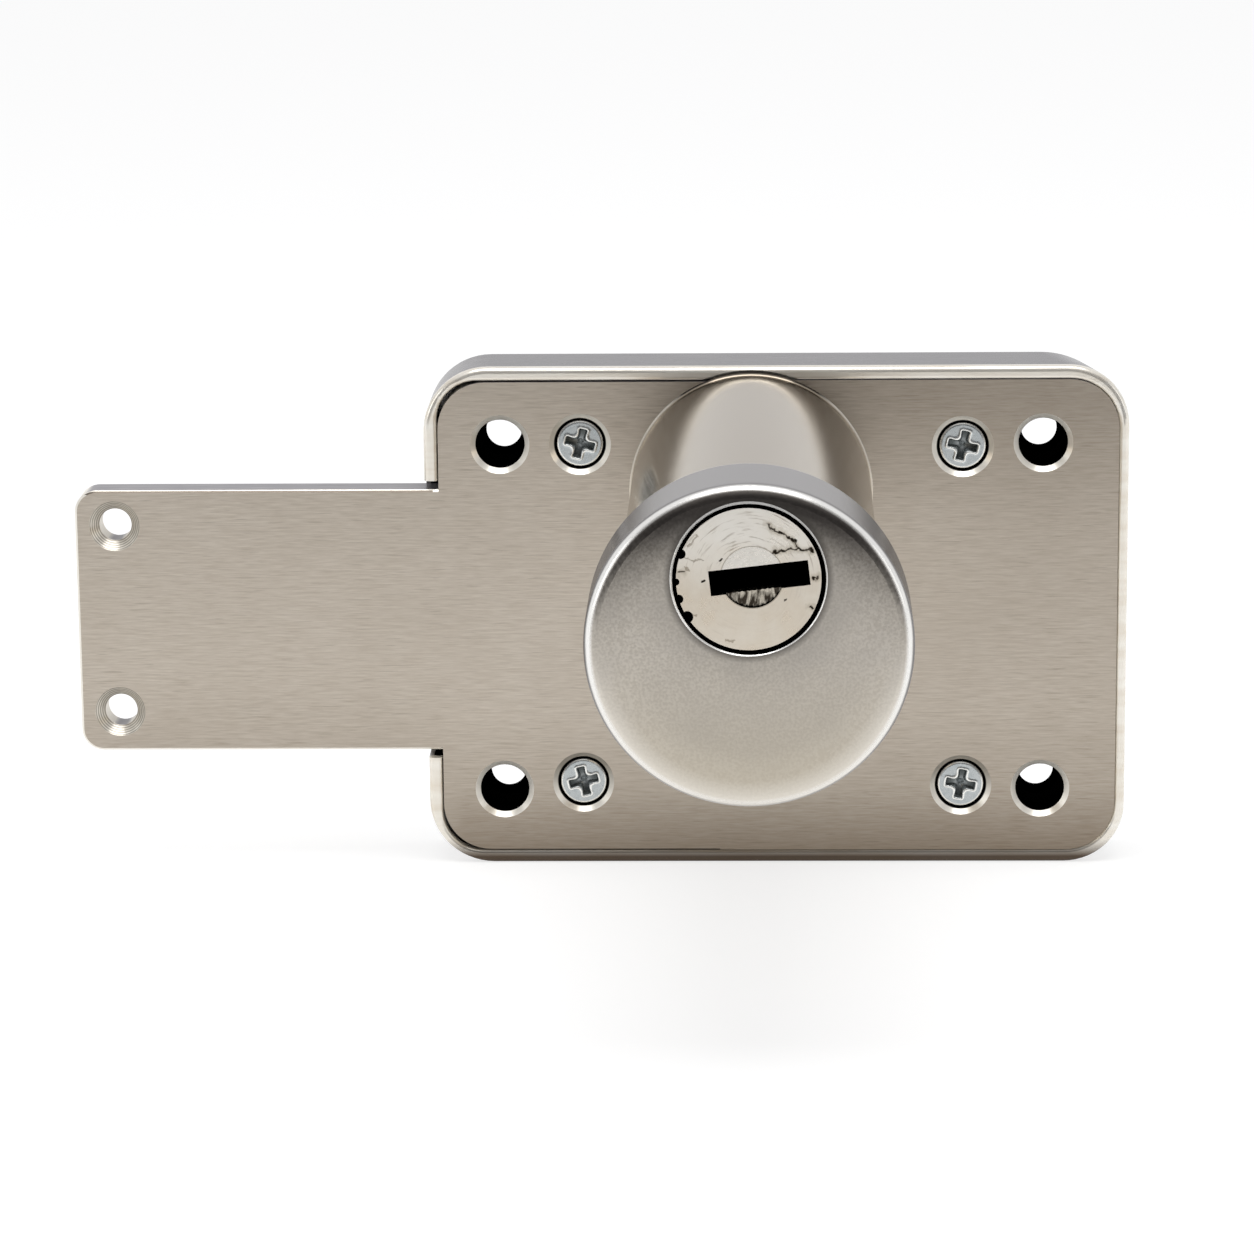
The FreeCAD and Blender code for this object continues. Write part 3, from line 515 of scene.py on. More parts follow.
def cross_recess(across, along):
    """Depth below a screw's face, nearness to the burr's crest, which is also painted as a highlight, and
    painted shade, darker with depth.

    The distance from a cross is the smoothed least of the distances from its two arms. Inside it the
    floor falls by a smooth step along the wall, deeper towards the middle, and a narrow bell curve raises
    a burr round it. The same step gives the painted shade, which a wider bell curve makes less in the
    middle.
    """
    first = arm_distance(across, along, recess_reach, recess_half_width)
    second = arm_distance(along, across, recess_reach, recess_half_width)
    share = np.clip(0.5 + (second - first) / (2 * recess_blend), 0, 1)
    distance = second * (1 - share) + first * share - recess_blend * share * (1 - share)
    step = np.clip(-distance / recess_wall, 0, 1)
    step = step * step * (3 - 2 * step)
    middle = np.hypot(across, along) / recess_reach
    floor = recess_floor + recess_dish * np.clip(1 - middle, 0, 1)
    floor = floor + recess_dip * np.exp(-(middle / dip_width) ** 2)
    burr = np.exp(-((distance - burr_width) / burr_width) ** 2)
    recess_shade = step * (1 - 0.95 * np.exp(-(middle / less_shade_middle_width) ** 2))
    return step * floor - burr_height * burr, burr, recess_shade


def straight_slot(across, along):
    """Depth of a plain slot below a screw's face: a smooth step over its wall, with no burr, and the same
    step as painted shade.
    """
    step = np.clip((slot_half_width - np.abs(along)) / slot_wall, 0, 1)
    return slot_depth * step, np.zeros_like(step), step


def screw_surface(origin, axis, turn, profile, thread, recess, face_rows=46, columns=152):
    """A screw as rings about its axis: first the face, hollowed by its recess, then the outline to the tip.

    profile lists (depth, radius) corners from the face's edge on, and thread its start, end, pitch and
    depth. Along the thread the radius falls and rises once a pitch: it is the crest less the thread's
    depth times a triangle wave of the depth over the pitch less the angle over a full turn.
    """
    forward = np.array(axis, float)
    level = np.array((1.0, 0.0, 0.0))
    upright = np.cross(level, forward) if abs(forward[2]) > 0.5 else np.array((0.0, 0.0, 1.0))
    angle = 2 * np.pi * np.arange(columns) / columns
    face_depth, face_radius = profile[0]
    reach = face_radius * np.linspace(1.0 / face_rows, 1.0, face_rows)[:, None] * np.ones(columns)
    local = angle - math.radians(turn)
    sunk, burr, recess_shade = recess(reach * np.cos(local), reach * np.sin(local))
    start, stop, pitch, tooth = thread
    corner_depths, corner_radii = np.array(profile).T
    threaded = np.arange(start, stop, pitch / 8)
    body_depths = np.unique(np.concatenate([corner_depths[1:], threaded]))
    radius = np.interp(body_depths, corner_depths, corner_radii)[:, None] * np.ones(columns)
    wave = np.abs(2 * ((body_depths[:, None] / pitch - angle / (2 * np.pi)) % 1.0) - 1)
    within = np.clip(np.minimum(body_depths - start, stop - body_depths) / pitch, 0, 1)[:, None]
    radius = radius - tooth * wave * within
    depth = np.concatenate([sunk + face_depth, body_depths[:, None] * np.ones(columns)])
    reach = np.concatenate([reach, radius])
    outward = level * np.cos(angle)[:, None] + upright * np.sin(angle)[:, None]
    rings = np.array(origin) + depth[..., None] * forward + reach[..., None] * outward
    centre_depth = recess(np.zeros(1), np.zeros(1))[0][0] + face_depth
    first = np.array(origin) + centre_depth * forward
    last = np.array(origin) + body_depths[-1] * forward
    rest = np.zeros((len(body_depths), columns))
    # Painted highlight: the head's outer edge is marked to be painted near white.
    head_edge_highlight = rest + (body_depths < head_edge_highlight_depth)[:, None]
    burr = np.concatenate([[0.0], np.concatenate([burr, head_edge_highlight]).ravel(), [0.0]])
    recess_shade = np.concatenate([recess_shade, rest]).ravel()
    recess_shade = np.concatenate([recess_shade[:1], recess_shade, [0.0]])
    return closed_surface(first, rings, last), burr, recess_shade


def stored_mark(tree, name):
    """A number that is stored on a mesh's points."""
    mark = tree.nodes.new("ShaderNodeAttribute")
    mark.attribute_name = name
    return mark.outputs["Fac"]


zinc_finish, tree, surface = start_metal("blue_zinc")
specks = grain(tree, (1500.0, 1500.0, 1500.0))
highlight_mark = stored_mark(tree, "burr")
recess_shade_mark = stored_mark(tree, "recess_shade")
# Painted shade: the cross recess and the slots are painted dark and less metallic with depth.
hollowed = tint(
    tree, spread(tree, recess_shade_mark, 0.0, 0.9, 0.0, 1.0), varied(tree, specks, zinc_greys), recess_shade_grey,
)
# Painted highlight: the burr and the head's outer edge are painted near white.
burr_and_edge_highlight = tint(tree, spread(tree, highlight_mark, 0.0, 1.0, 0.25, 0.8), hollowed, burr_highlight_white)
feed(tree, surface.inputs["Base Color"], burr_and_edge_highlight)
feed(tree, surface.inputs["Roughness"], spread(tree, specks, 0.2, 0.34))
feed(tree, surface.inputs["Metallic"], spread(tree, recess_shade_mark, zinc_metal, recess_shade_metal, 0.0, 0.8))
emboss(tree, surface, specks, 3e-6)

cover_surfaces, cover_highlight_marks, cover_recess_shades = zip(*[
    screw_surface((x, head_top, z), (0.0, 1.0, 0.0), turn, cover_profile, cover_thread, cross_recess)
    for x, z, turn in cover_screw_places
])
cover_screws = make_piece("cover_screw_set", cover_surfaces, zinc_finish, (
    ("burr", np.concatenate(cover_highlight_marks)), ("recess_shade", np.concatenate(cover_recess_shades)),
))
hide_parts("cover_screws")
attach(cover_screws, "lock_body")

# Barrel. A turned brass bar, nickel plated and polished, held to the plate from behind by two screws.
# At its foot it is painted cream as a highlight, and black as shadow where it passes under the case's
# rim; where it runs inside the head it is painted black as shade.

barrel_x = -2.8 * millimetre
barrel_z = 14.5 * millimetre
barrel_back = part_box("barrel_housing")[1].y
barrel_foot = (barrel_back - 0.25 * millimetre, barrel_back - 0.1 * millimetre)
head_overlap = -76.5 * millimetre
rim_shadow = (24.5, 26.0)

barrel_nickel = ((0.445, 0.383, 0.305), (0.49, 0.428, 0.348))
spot_grey = (0.36, 0.33, 0.29)
foot_painted_highlight = (0.74, 0.69, 0.60)
foot_painted_shadow = (0.03, 0.025, 0.02)

barrel_finish, tree, surface = start_metal("polished_nickel")
_, place_y, place_z = axes(tree)
turning = grain(tree, (60.0, 5000.0, 60.0), 2.0)
specks = grain(tree, (420.0, 420.0, 420.0), 4.0)
spotted = tint(
    tree, spread(tree, specks, 0.0, 0.35, 0.66, 0.78), varied(tree, turning, barrel_nickel), spot_grey,
)
# Painted highlight and shadow: the foot is cream, and black towards the top where it passes under the rim.
foot = tint(tree, fade(tree, place_z, *rim_shadow), foot_painted_highlight, foot_painted_shadow)
footed = tint(tree, spread(tree, place_y, 0.0, 1.0, *barrel_foot), spotted, foot)
# Painted shade: black where the barrel runs inside the head.
in_head = under(tree, place_y, head_overlap)
feed(tree, surface.inputs["Base Color"], tint(tree, in_head, footed, black))
feed(tree, surface.inputs["Roughness"], spread(tree, turning, 0.13, 0.19))
painted_shade_surface(tree, surface, in_head)
emboss(tree, surface, specks, 3e-6)
dress("barrel_housing", barrel_finish)

# Barrel screws. Two countersunk M4 screws with plain slots, driven from the back of the plate.

plate_back = plate_low.y / millimetre + 4.0
barrel_screw_height = 10.5
barrel_screw_sides = (-8.5, 8.5)
barrel_screw_profile = [(0.0, 3.62), (0.08, 3.7), (1.78, 2.0), (11.7, 2.0), (12.0, 1.75)]
barrel_screw_thread = (3.0, 11.9, 0.7, 0.35)

barrel_screw_surfaces, _, slot_shades = zip(*[
    screw_surface(
        (barrel_x / millimetre + side, plate_back, barrel_screw_height), (0.0, -1.0, 0.0), 0.0,
        barrel_screw_profile, barrel_screw_thread, straight_slot, 32, 96,
    )
    for side in barrel_screw_sides
])
slot_shade_marks = np.concatenate(slot_shades)
barrel_screws = make_piece("barrel_screw_pair", barrel_screw_surfaces, zinc_finish, (
    ("burr", slot_shade_marks * 0), ("recess_shade", slot_shade_marks),
))
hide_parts("barrel_screws")
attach(barrel_screws, "lock_body")

# Barrel head. Cast and turned, satin finished by fine shot on its face, and polished on its rounded edge
# and on the thin ring round the plug. Painted highlights brighten the rounded edge, its lower part, its
# back edge and the ring; painted shade darkens the face round the ring, a crescent near the top and the
# side band, and the gap inside the ring is painted black as shade.

head_low, head_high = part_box("barrel_head")
plug_x = -2.8 * millimetre
plug_z = 21.5 * millimetre
ring_outer_radius = 7.72 * millimetre
ring_inner_radius = 7.53 * millimetre
ring_wall_place = (plug_x + 0.04 * millimetre, plug_z - 0.06 * millimetre)
head_front_end = head_low.y + 3.0 * millimetre
back_edge = (head_high.y - 0.55 * millimetre, head_high.y - 0.4 * millimetre)
ring_shade_reach = (ring_outer_radius + 0.05 * millimetre, ring_outer_radius + 0.7 * millimetre)
wide_ring_shade_reach = (ring_outer_radius, 11.5 * millimetre)

satin_nickel = ((0.50, 0.458, 0.397), (0.655, 0.608, 0.538))
low_satin = ((0.472, 0.425, 0.347), (0.527, 0.48, 0.397))
mottle_grey = (0.45, 0.42, 0.385)
crescent_grey = (0.075, 0.065, 0.06)
ring_shade_grey = (0.10, 0.09, 0.08)
wide_ring_shade_grey = (0.16, 0.15, 0.14)
low_edge_highlight_cream = (0.92, 0.885, 0.82)
rounded_edge_highlight_white = (0.98, 0.97, 0.94)
side_shade_greys = ((0.17, 0.16, 0.155), (0.345, 0.335, 0.335))
back_edge_highlight_white = (0.85, 0.84, 0.82)
ring_highlight_white = (0.95, 0.94, 0.91)
satin_levels = (0.38, 0.62)

# Fades over the head's face, most of them of painted light and shade: from and to in millimetres, and the
# share at either end.
low_satin_fade = (2.0, 14.0, 0.9, 0.0)
crescent_fade = (17.0, 26.0)
glow_outwards = (13.4, 15.8, 0.0, 0.55)
glow_upwards = (7.0, 15.0, 1.0, 0.0)
outline_upwards = (14.0, 24.0, 0.2, 0.0)

head_finish, tree, surface = start_metal("satin_nickel")
place_x, place_y, place_z = axes(tree)
_, normal_y, normal_z = axes(tree, "Normal")
shot = grain(tree, (3600.0, 3600.0, 3600.0))
mottle = grain(tree, (190.0, 190.0, 190.0), 4.0, (0.4, 0.1, 0.7))
satin = varied(tree, shot, satin_nickel, *satin_levels)
satin = tint(tree, spread(tree, mottle, 0.0, 0.45), satin, mottle_grey)
satin_below = varied(tree, shot, low_satin, *satin_levels)
satin = tint(tree, fade(tree, place_z, *low_satin_fade), satin, satin_below)
# Painted shade: a dark crescent where the face tilts slightly up near the top.
crescent = product(tree, spread(tree, normal_z, 0.0, 0.9, 0.02, 0.10), fade(tree, place_z, *crescent_fade))
satin = tint(tree, crescent, satin, crescent_grey)
plug_reach = reach_from(tree, place_x, place_z, plug_x, plug_z)
# Painted shade: the face darkens close round the plug's ring, and more faintly further out.
satin = tint(tree, spread(tree, plug_reach, 0.75, 0.0, *ring_shade_reach), satin, ring_shade_grey)
satin = tint(tree, spread(tree, plug_reach, 0.22, 0.0, *wide_ring_shade_reach), satin, wide_ring_shade_grey)
head_reach = reach_from(tree, place_x, place_z, barrel_x, barrel_z)
# Painted highlight: the lower part of the rounded edge is painted cream.
low_glow = product(tree, fade(tree, head_reach, *glow_outwards), fade(tree, place_z, *glow_upwards))
satin = tint(tree, low_glow, satin, low_edge_highlight_cream)
# Painted highlight: the rounded edge, where it turns away from the front, is painted near white, except
# where it faces down.
facing_up = spread(tree, normal_z, 0.0, 0.22, 0.0, 1.0)
turned_away = spread(tree, offset(tree, normal_y, facing_up), 0.0, 1.0, -0.94, -0.8)
edge_share = product(tree, turned_away, spread(tree, normal_z, 0.25, 1.0, -0.75, -0.1))
edge_colour = tint(tree, edge_share, satin, rounded_edge_highlight_white)
# Painted shade: the side band is painted dark grey, lighter as it faces up, with a dark outline along the
# lower part of the head's edge.
dark_outline = product(
    tree, fade(tree, place_z, *outline_upwards), spread(tree, normal_z, 0.0, 1.0, -0.97, -0.8),
)
on_side = spread(tree, work_out(tree, "ADD", normal_y, dark_outline), 0.0, 1.0, -0.46, -0.26)
side_colour = tint(tree, on_side, edge_colour, varied(tree, normal_z, side_shade_greys, 0.6, 0.97))
# Painted highlight: a thin white line at the back edge of the side.
at_back = spread(tree, place_y, 0.0, 1.0, *back_edge)
side_colour = tint(tree, at_back, side_colour, back_edge_highlight_white)
# Painted highlight and shade: the ring round the plug is polished and painted near white as a highlight,
# and the gap inside it is painted black as shade.
at_face = under(tree, place_y, head_front_end)
on_ring = product(tree, under(tree, plug_reach, ring_outer_radius), at_face)
wall_reach = reach_from(tree, place_x, place_z, *ring_wall_place)
ring_wall = product(tree, under(tree, wall_reach, ring_inner_radius), at_face)
ringed = tint(tree, on_ring, side_colour, ring_highlight_white)
feed(tree, surface.inputs["Base Color"], tint(tree, ring_wall, ringed, black))
satin_roughness = blend_value(tree, turned_away, spread(tree, shot, 0.28, 0.38), 0.22)
feed(tree, surface.inputs["Roughness"], blend_value(tree, on_ring, satin_roughness, 0.25))
bright_lines = work_out(tree, "MAXIMUM", on_ring, product(tree, at_back, 0.9))
bright_lines = work_out(tree, "MAXIMUM", bright_lines, product(tree, edge_share, 0.8))
painted_shade_surface(tree, surface, ring_wall, blend_value(tree, bright_lines, 1.0, 0.5))
emboss(tree, surface, shot, 7e-6)
dress("barrel_head", head_finish)

# Plug. Turned from brass and nickel plated. Keys and hands have rubbed its face to a warm cream with fine
# arcs above the slot, two cracks in the plating at the upper right and a few pits. Its face is painted
# paler towards the top as painted light, and below the face it is painted black as shade. Places are in
# millimetres from the plug's axis.

face_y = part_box("plug")[0].y
plug_wall_start = face_y + 0.12 * millimetre
crack_width = 0.1 * millimetre
crack_wander = 0.22 * millimetre
arcs_per_metre = 4200.0
arcs_per_radian = 2.2
cracks = [
    ((1.8, 5.4), (3.1, 4.6)), ((3.1, 4.6), (4.25, 3.95)), ((4.25, 3.95), (4.9, 3.0)),
    ((2.35, 2.75), (5.0, 3.0)), ((4.9, 3.0), (6.3, 2.85)),
    ((6.25, 0.1), (6.75, 0.2)), ((6.0, -2.75), (6.3, -2.9)), ((-6.9, 0.65), (-6.2, 0.75)),
]
faint_lines = [
    ((-6.3, 2.3), (-5.4, 1.9)), ((-5.4, 1.9), (-4.4, 2.1)), ((-6.4, 1.3), (-5.7, 0.8)),
    ((-5.9, 3.2), (-5.0, 4.4)), ((-6.0, -3.3), (-5.2, -3.6)), ((-2.2, -6.1), (-1.4, -6.3)),
]
pits = [
    (2.9, 4.75), (3.1, 4.6), (3.9, 4.25), (4.25, 3.95), (4.55, 3.9), (4.9, 3.05), (5.1, 2.95), (6.2, 2.85),
    (2.7, 2.75), (3.3, 2.85), (3.5, -2.15), (-4.5, -0.1), (6.4, 0.1), (-2.7, 1.9), (6.1, -2.8),
]
pit_length = 0.05
insert_radius = 3.09 * millimetre
insert_place = (plug_x + 0.34 * millimetre, plug_z + 0.2 * millimetre)

worn_cream = ((0.67, 0.59, 0.48), (0.84, 0.775, 0.67))
upper_painted_light_cream = ((0.88, 0.83, 0.745), (0.99, 0.955, 0.88))
arc_brown = (0.36, 0.30, 0.23)
seam_brown = (0.30, 0.26, 0.20)
stain_brown = (0.42, 0.36, 0.27)
faint_brown = (0.22, 0.17, 0.11)
crack_brown = (0.03, 0.022, 0.015)
pit_brown = (0.02, 0.015, 0.01)


def distance_to_stroke(tree, x, z, first, second):
    """Distance in the plane from a straight stroke.

    The share along it is the offset from its start times its direction over its squared length, kept from
    0 to 1, and the distance is that from the point at this share.
    """
    run_x = (second[0] - first[0]) * millimetre
    run_z = (second[1] - first[1]) * millimetre
    length = run_x ** 2 + run_z ** 2
    off_x = offset(tree, x, plug_x + first[0] * millimetre)
    off_z = offset(tree, z, plug_z + first[1] * millimetre)
    along = work_out(
        tree, "ADD", product(tree, off_x, run_x / length), product(tree, off_z, run_z / length),
    )
    share = spread(tree, along, 0.0, 1.0, 0.0, 1.0)
    gap_x = offset(tree, off_x, product(tree, share, run_x))
    gap_z = offset(tree, off_z, product(tree, share, run_z))
    return reach_from(tree, gap_x, gap_z, 0.0, 0.0)


def nearest_stroke(tree, x, z, strokes):
    """Distance from the nearest of several strokes: the least of their distances."""
    nearest, *others = [distance_to_stroke(tree, x, z, *stroke) for stroke in strokes]
    for other in others:
        nearest = work_out(tree, "MINIMUM", nearest, other)
    return nearest


def scribe(tree, distance, depth, widths, face, colour):
    """A colour laid along strokes: full within one width and none past another, in crack widths."""
    start, end = widths
    share = spread(tree, distance, depth, 0.0, start * crack_width, end * crack_width)
    return tint(tree, share, face, colour)


plug_finish, tree, surface = start_metal("plug_nickel")
place_x, place_y, place_z = axes(tree)
sideways = grain(tree, (1600.0, 0.0, 1600.0))
upwards = grain(tree, (1500.0, 0.0, 1500.0), 3.0, (0.7, 0.0, 0.2))
rough_x = work_out(tree, "ADD", place_x, spread(tree, sideways, -crack_wander, crack_wander))
rough_z = work_out(tree, "ADD", place_z, spread(tree, upwards, -crack_wander, crack_wander))
face_reach = reach_from(tree, place_x, place_z, plug_x, plug_z)
bearing = work_out(tree, "ARCTAN2", offset(tree, place_z, plug_z), offset(tree, place_x, plug_x))
polar = tree.nodes.new("ShaderNodeCombineXYZ")
feed(tree, polar.inputs["X"], product(tree, face_reach, arcs_per_metre))
feed(tree, polar.inputs["Y"], product(tree, bearing, arcs_per_radian))
arcs = tree.nodes.new("ShaderNodeTexNoise")
arcs.inputs["Scale"].default_value = 1.0
arcs.inputs["Detail"].default_value = 3.0
tree.links.new(polar.outputs["Vector"], arcs.inputs["Vector"])
upper_half = spread(tree, place_z, 0.15, 1.0, plug_z + 0.5 * millimetre, plug_z + 2.5 * millimetre)
scratches = product(tree, spread(tree, arcs.outputs["Fac"], 0.0, 1.0, 0.56, 0.68), upper_half, 0.6)
wear = grain(tree, (260.0, 0.0, 260.0), 5.0, (0.21, 0.0, 0.53))
# Painted light: the face is painted paler towards the top.
painted_light_upwards = spread(tree, place_z, 0.0, 1.0, plug_z - 1.0 * millimetre, plug_z + 4.0 * millimetre)
face = tint(
    tree, painted_light_upwards, varied(tree, wear, worn_cream, 0.35, 0.65), varied(tree, wear, upper_painted_light_cream, 0.35, 0.65),
)
face = tint(tree, scratches, face, arc_brown)
insert_reach = reach_from(tree, place_x, place_z, *insert_place)
off_seam = size_of(tree, offset(tree, insert_reach, insert_radius))
face = scribe(tree, off_seam, 0.6, (0.2, 0.9), face, seam_brown)
off_crack = nearest_stroke(tree, rough_x, rough_z, cracks)
off_line = nearest_stroke(tree, rough_x, rough_z, faint_lines)
off_pit = nearest_stroke(tree, rough_x, rough_z, [((x, z), (x + pit_length, z)) for x, z in pits])
face = scribe(tree, off_crack, 0.55, (1.0, 5.0), face, stain_brown)
face = scribe(tree, off_line, 0.6, (0.3, 1.2), face, faint_brown)
face = scribe(tree, off_crack, 0.92, (0.6, 1.3), face, crack_brown)
face = scribe(tree, off_pit, 1.0, (1.1, 1.9), face, pit_brown)
# Painted shade: below its face the plug is painted black.
below_face = over(tree, place_y, plug_wall_start)
feed(tree, surface.inputs["Base Color"], tint(tree, below_face, face, black))
feed(tree, surface.inputs["Roughness"], spread(tree, wear, 0.22, 0.4))
painted_shade_surface(tree, surface, below_face)
emboss(tree, surface, arcs.outputs["Fac"], 3e-6)
dress("plug", plug_finish)

# Plug face insert. Two hard steel pieces pressed into the face against drilling, parted by the key slot:
# the upper one ground flush and smooth, the lower one sunk and ridged.

lower_insert = (face_y + 0.2 * millimetre, face_y + 0.4 * millimetre)
smooth_cream = ((0.80, 0.76, 0.69), (0.90, 0.865, 0.80))
ridge_browns = ((0.05, 0.04, 0.03), (0.62, 0.57, 0.48))

insert_finish, tree, surface = start_metal("hard_insert")
_, place_y, _ = axes(tree)
ridges = grain(tree, (2600.0, 0.0, 700.0), 4.0, (0.5, 0.0, 0.1))
ground = grain(tree, (700.0, 0.0, 2600.0))
insert_colour = tint(
    tree, spread(tree, place_y, 0.0, 1.0, *lower_insert),
    varied(tree, ground, smooth_cream), varied(tree, ridges, ridge_browns, 0.42, 0.6),
)
feed(tree, surface.inputs["Base Color"], insert_colour)
feed(tree, surface.inputs["Roughness"], spread(tree, ground, 0.22, 0.34))
emboss(tree, surface, ridges, 2e-5)
dress("plug_face_insert", insert_finish)

# Pins and chamber plugs. Turned from brass rod, with the tool's fine rings round them.

pin_count = 5
pin_rings = (90.0, 90.0, 6000.0)
brass_yellows = ((0.50, 0.35, 0.13), (0.68, 0.50, 0.22))

brass_finish = marked_metal("turned_brass", pin_rings, 2.0, brass_yellows, (0.18, 0.34), 3e-6)
dress("chamber_plugs", brass_finish)
for number in range(1, pin_count + 1):
    dress("key_pin_" + str(number), brass_finish)
    dress("driver_pin_" + str(number), brass_finish)

# Pin springs. Drawn round wire, wound with five open turns and a closed turn at each end. Sizes are in
# millimetres.

wire_radius = 0.17
coil_radius = 1.0
open_turns = 5.0
closed_turns = 1.0
closed_turn_rise = 2 * wire_radius * 0.98
drawing_marks = (1600.0, 1600.0, 1600.0)
wire_greys = ((0.35, 0.35, 0.36), (0.48, 0.48, 0.49))


def coil_surface(centre_x, centre_y, floor_z, top_z, steps=26, sides=10):
    """A round wire along a coil: rings of points about the helix, in the plane across its direction.

    The helix goes round at a fixed radius while its height rises by one wire in each closed end turn and
    evenly over the open turns between them.
    """
    all_turns = open_turns + 2 * closed_turns
    turns = np.linspace(0, all_turns, int(steps * all_turns) + 1)
    low = floor_z + wire_radius
    high = top_z - wire_radius
    height = np.interp(
        turns, [0, closed_turns, closed_turns + open_turns, all_turns],
        [low, low + closed_turn_rise, high - closed_turn_rise, high],
    )
    angle = 2 * np.pi * turns
    outward = np.stack([np.cos(angle), np.sin(angle), np.zeros_like(angle)], -1)
    line = np.stack([
        centre_x + coil_radius * np.cos(angle), centre_y + coil_radius * np.sin(angle), height,
    ], -1)
    course = np.gradient(line, axis=0)
    course /= np.linalg.norm(course, axis=1)[:, None]
    across = np.cross(course, outward)
    around = 2 * np.pi * np.arange(sides) / sides
    rings = (
        line[:, None] + wire_radius * np.cos(around)[None, :, None] * outward[:, None]
        + wire_radius * np.sin(around)[None, :, None] * across[:, None]
    )
    return closed_surface(line[0], rings, line[-1])


wire_finish = marked_metal("drawn_wire", drawing_marks, 2.0, wire_greys, (0.2, 0.34))
for number in range(1, pin_count + 1):
    spring_node = "pin_spring_" + str(number)
    spring_low, spring_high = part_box(spring_node)
    coil = coil_surface(
        plug_x / millimetre, (spring_low.y + spring_high.y) / 2 / millimetre,
        spring_low.z / millimetre, spring_high.z / millimetre,
    )
    spring = make_piece("pin_coil_" + str(number), [coil], wire_finish, sharp=80.0)
    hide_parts(spring_node)
    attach(spring, "lock_body")
    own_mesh(spring)

# Retainer screw. A blackened grub screw from below, whose turned tip runs in the plug's groove. Sizes are
# in millimetres.

grub_low, grub_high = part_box("plug_retainer_screw")
grub_middle = (grub_low.y + grub_high.y) / 2 / millimetre
grub_length = (grub_high.z - grub_low.z) / millimetre
grub_shoulder = 14.76
grub_radius = 1.5
grub_tip_radius = 1.0
grub_profile = [
    (0.0, 1.4), (0.1, grub_radius), (grub_shoulder - 0.2, grub_radius), (grub_shoulder, 1.3),
    (grub_shoulder + 0.01, grub_tip_radius), (grub_length - 0.2, grub_tip_radius), (grub_length, 0.8),
]
grub_thread = (1.0, grub_shoulder - 2.0, 0.5, 0.25)
oxide_specks = (1300.0, 1300.0, 1300.0)
oxide_blacks = ((0.04, 0.036, 0.032), (0.10, 0.09, 0.08))

grub_finish = marked_metal("dark_grub", oxide_specks, 3.0, oxide_blacks, (0.34, 0.5))
grub_surface = screw_surface(
    (plug_x / millimetre, grub_middle, grub_low.z / millimetre), (0.0, 0.0, 1.0), 0.0, grub_profile,
    grub_thread, straight_slot, 24, 96,
)[0]
retainer = make_piece("plug_retainer_grub", [grub_surface], grub_finish)
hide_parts("plug_retainer_screw")
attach(retainer, "lock_body")

# Stage. A white sheet under the lock, which ends a little in front of it, in a pale room that is dark
# behind the camera, with one large soft lamp above and one at each side.

floor_height = cad_box[0].z
sheet_front = -0.41
sheet_reach = 4.0
sheet_seen = 0.70
sheet_white = (0.93, 0.93, 0.93)
sheet_under_glow = (0.40, 0.40, 0.40)
room_greys = ((0.14, 0.14, 0.145), (0.85, 0.85, 0.85))
backdrop_whites = ((0.95, 0.95, 0.95), (0.70, 0.70, 0.71))
seen_white = (1.0, 1.0, 1.0)


def white_sheet():
    """A flat white ground, which shows as lit paper to the camera and in metal, and keeps the shadow."""
    mesh = bpy.data.meshes.new("ground")
    corners = [
        (-sheet_reach, sheet_front, floor_height), (sheet_reach, sheet_front, floor_height),
        (sheet_reach, sheet_reach, floor_height), (-sheet_reach, sheet_reach, floor_height),
    ]
    mesh.from_pydata(corners, [], [(0, 1, 2, 3)])
    ground = bpy.data.objects.new("ground", mesh)
    bpy.context.scene.collection.objects.link(ground)
    material = bpy.data.materials.new("ground_white")
    material.use_nodes = True
    tree = material.node_tree
    surface = tree.nodes["Principled BSDF"]
    surface.inputs["Roughness"].default_value = 1.0
    surface.inputs["Specular IOR Level"].default_value = 0.0
    rays = tree.nodes.new("ShaderNodeLightPath")
    shown = work_out(tree, "MAXIMUM", rays.outputs["Is Camera Ray"], rays.outputs["Is Glossy Ray"])
    shown = work_out(tree, "MAXIMUM", shown, rays.outputs["Is Transmission Ray"])
    feed(tree, surface.inputs["Base Color"], tint(tree, shown, sheet_white, sheet_under_glow))
    surface.inputs["Emission Color"].default_value = (*seen_white, 1.0)
    feed(tree, surface.inputs["Emission Strength"], product(tree, shown, sheet_seen))
    mesh.materials.append(material)
    return ground


white_sheet()


def soft_lamp(name, place, target, width, height, radiance):
    """A rectangular lamp of that size and brightness, aimed at a point."""
    lamp = bpy.data.lights.new(name, "AREA")
    lamp.shape = "RECTANGLE"
    lamp.size = width
    lamp.size_y = height
    lamp.energy = radiance * math.pi * width * height
    holder = bpy.data.objects.new(name, lamp)
    bpy.context.scene.collection.objects.link(holder)
    holder.location = place
    holder.rotation_mode = "QUATERNION"
    holder.rotation_quaternion = (Vector(target) - Vector(place)).to_track_quat("-Z", "Y")


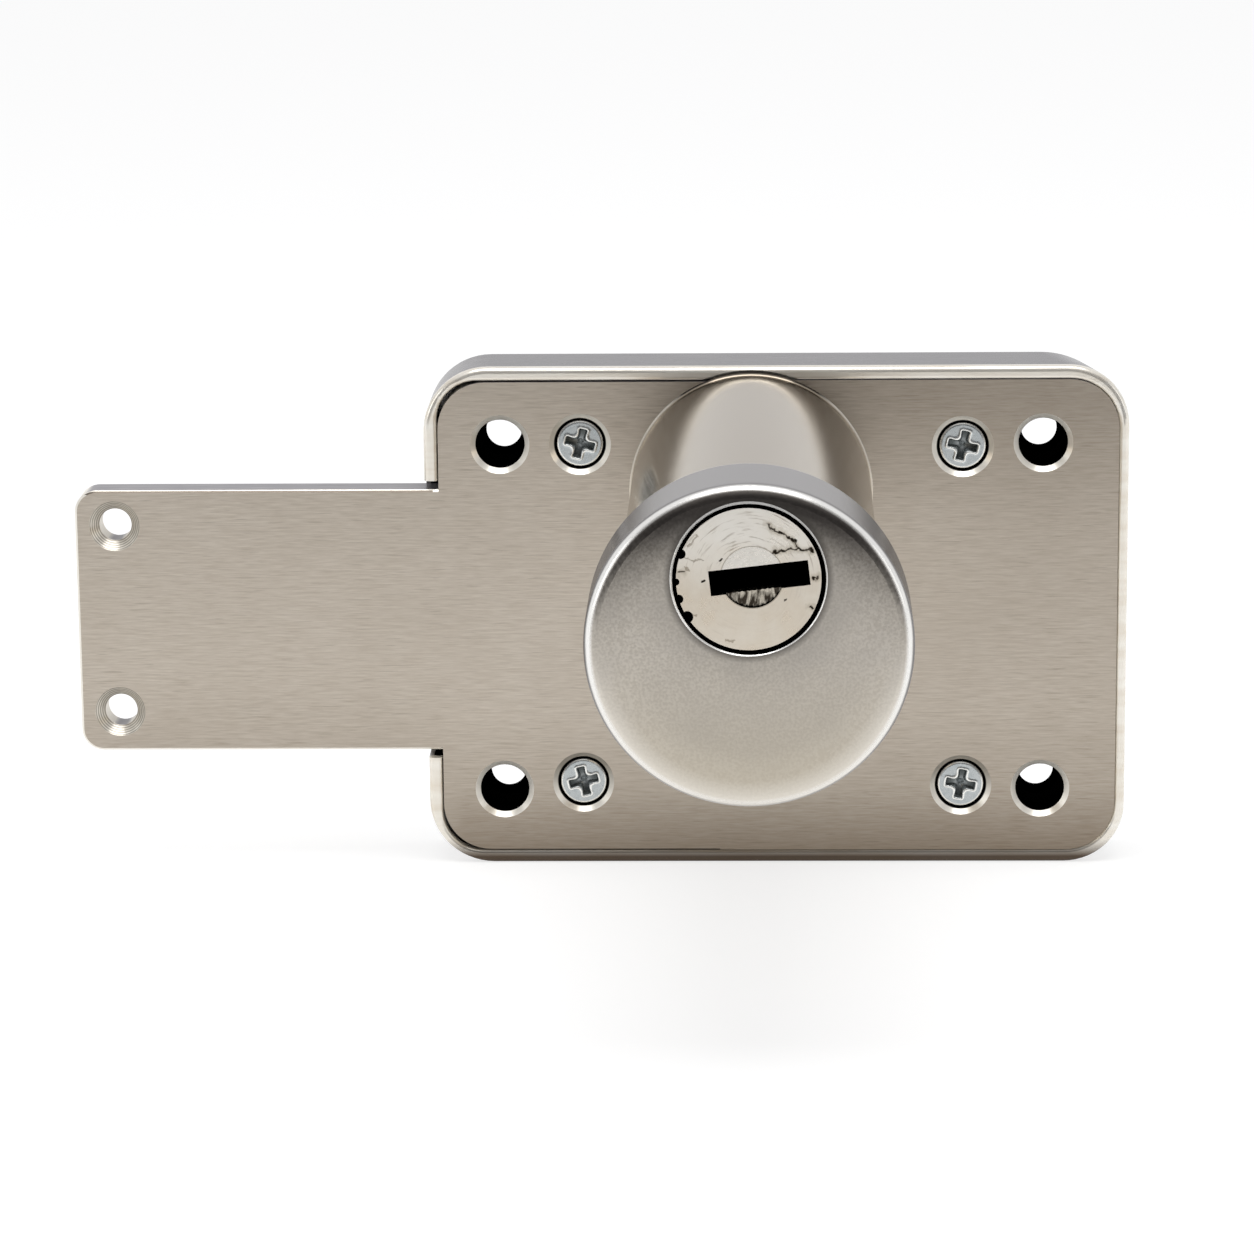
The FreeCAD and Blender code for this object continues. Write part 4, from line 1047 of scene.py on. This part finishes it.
soft_lamp("top_lamp", (0.0, -0.10, 0.60), (0.0, -0.03, 0.0), 0.50, 0.36, 3.0)
soft_lamp("left_lamp", (-0.75, -0.30, 0.25), (0.0, -0.02, 0.0), 0.30, 0.45, 1.7)
soft_lamp("right_lamp", (0.75, -0.30, 0.25), (0.0, -0.02, 0.0), 0.30, 0.45, 1.0)

world = bpy.data.worlds.new("studio")
bpy.context.scene.world = world
world.use_nodes = True
sky = world.node_tree
background = sky.nodes["Background"]
_, depthward, upward_share = axes(sky, "Generated")
frontness = spread(sky, depthward, 0.0, 1.0, 0.1, -0.45)
dark_room = varied(sky, upward_share, room_greys, 0.5, 0.88)
backdrop = varied(sky, upward_share, backdrop_whites, 0.03, 0.25)
room = tint(sky, frontness, backdrop, dark_room)
rays = sky.nodes.new("ShaderNodeLightPath")
feed(sky, background.inputs["Color"], tint(sky, rays.outputs["Is Camera Ray"], room, seen_white))
background.inputs["Strength"].default_value = 1.0

# Camera. It stands in front of the lock and a little above it, and looks down at about 13 degrees.

camera_place = Vector((-0.00102, -0.54802, 0.12204))
camera_yaw = math.radians(-1.705)
camera_pitch = math.radians(12.883)
camera_roll = math.radians(-0.521)
camera_lens = 138.56

forward = Vector((
    math.sin(camera_yaw) * math.cos(camera_pitch),
    math.cos(camera_yaw) * math.cos(camera_pitch),
    -math.sin(camera_pitch),
))
level = forward.cross(Vector((0.0, 0.0, 1.0))).normalized()
upward = level.cross(forward)
right = level * math.cos(camera_roll) + upward * math.sin(camera_roll)
up = upward * math.cos(camera_roll) - level * math.sin(camera_roll)
camera_data = bpy.data.cameras.new("camera")
camera_data.lens = camera_lens
camera_data.sensor_width = 36.0
camera_data.clip_start = 0.01
camera_data.clip_end = 20.0
camera = bpy.data.objects.new("camera", camera_data)
bpy.context.scene.collection.objects.link(camera)
facing = Matrix((right, up, -forward)).transposed().to_4x4()
camera.matrix_world = Matrix.Translation(camera_place) @ facing
bpy.context.scene.camera = camera
bpy.context.scene.view_settings.view_transform = "Standard"
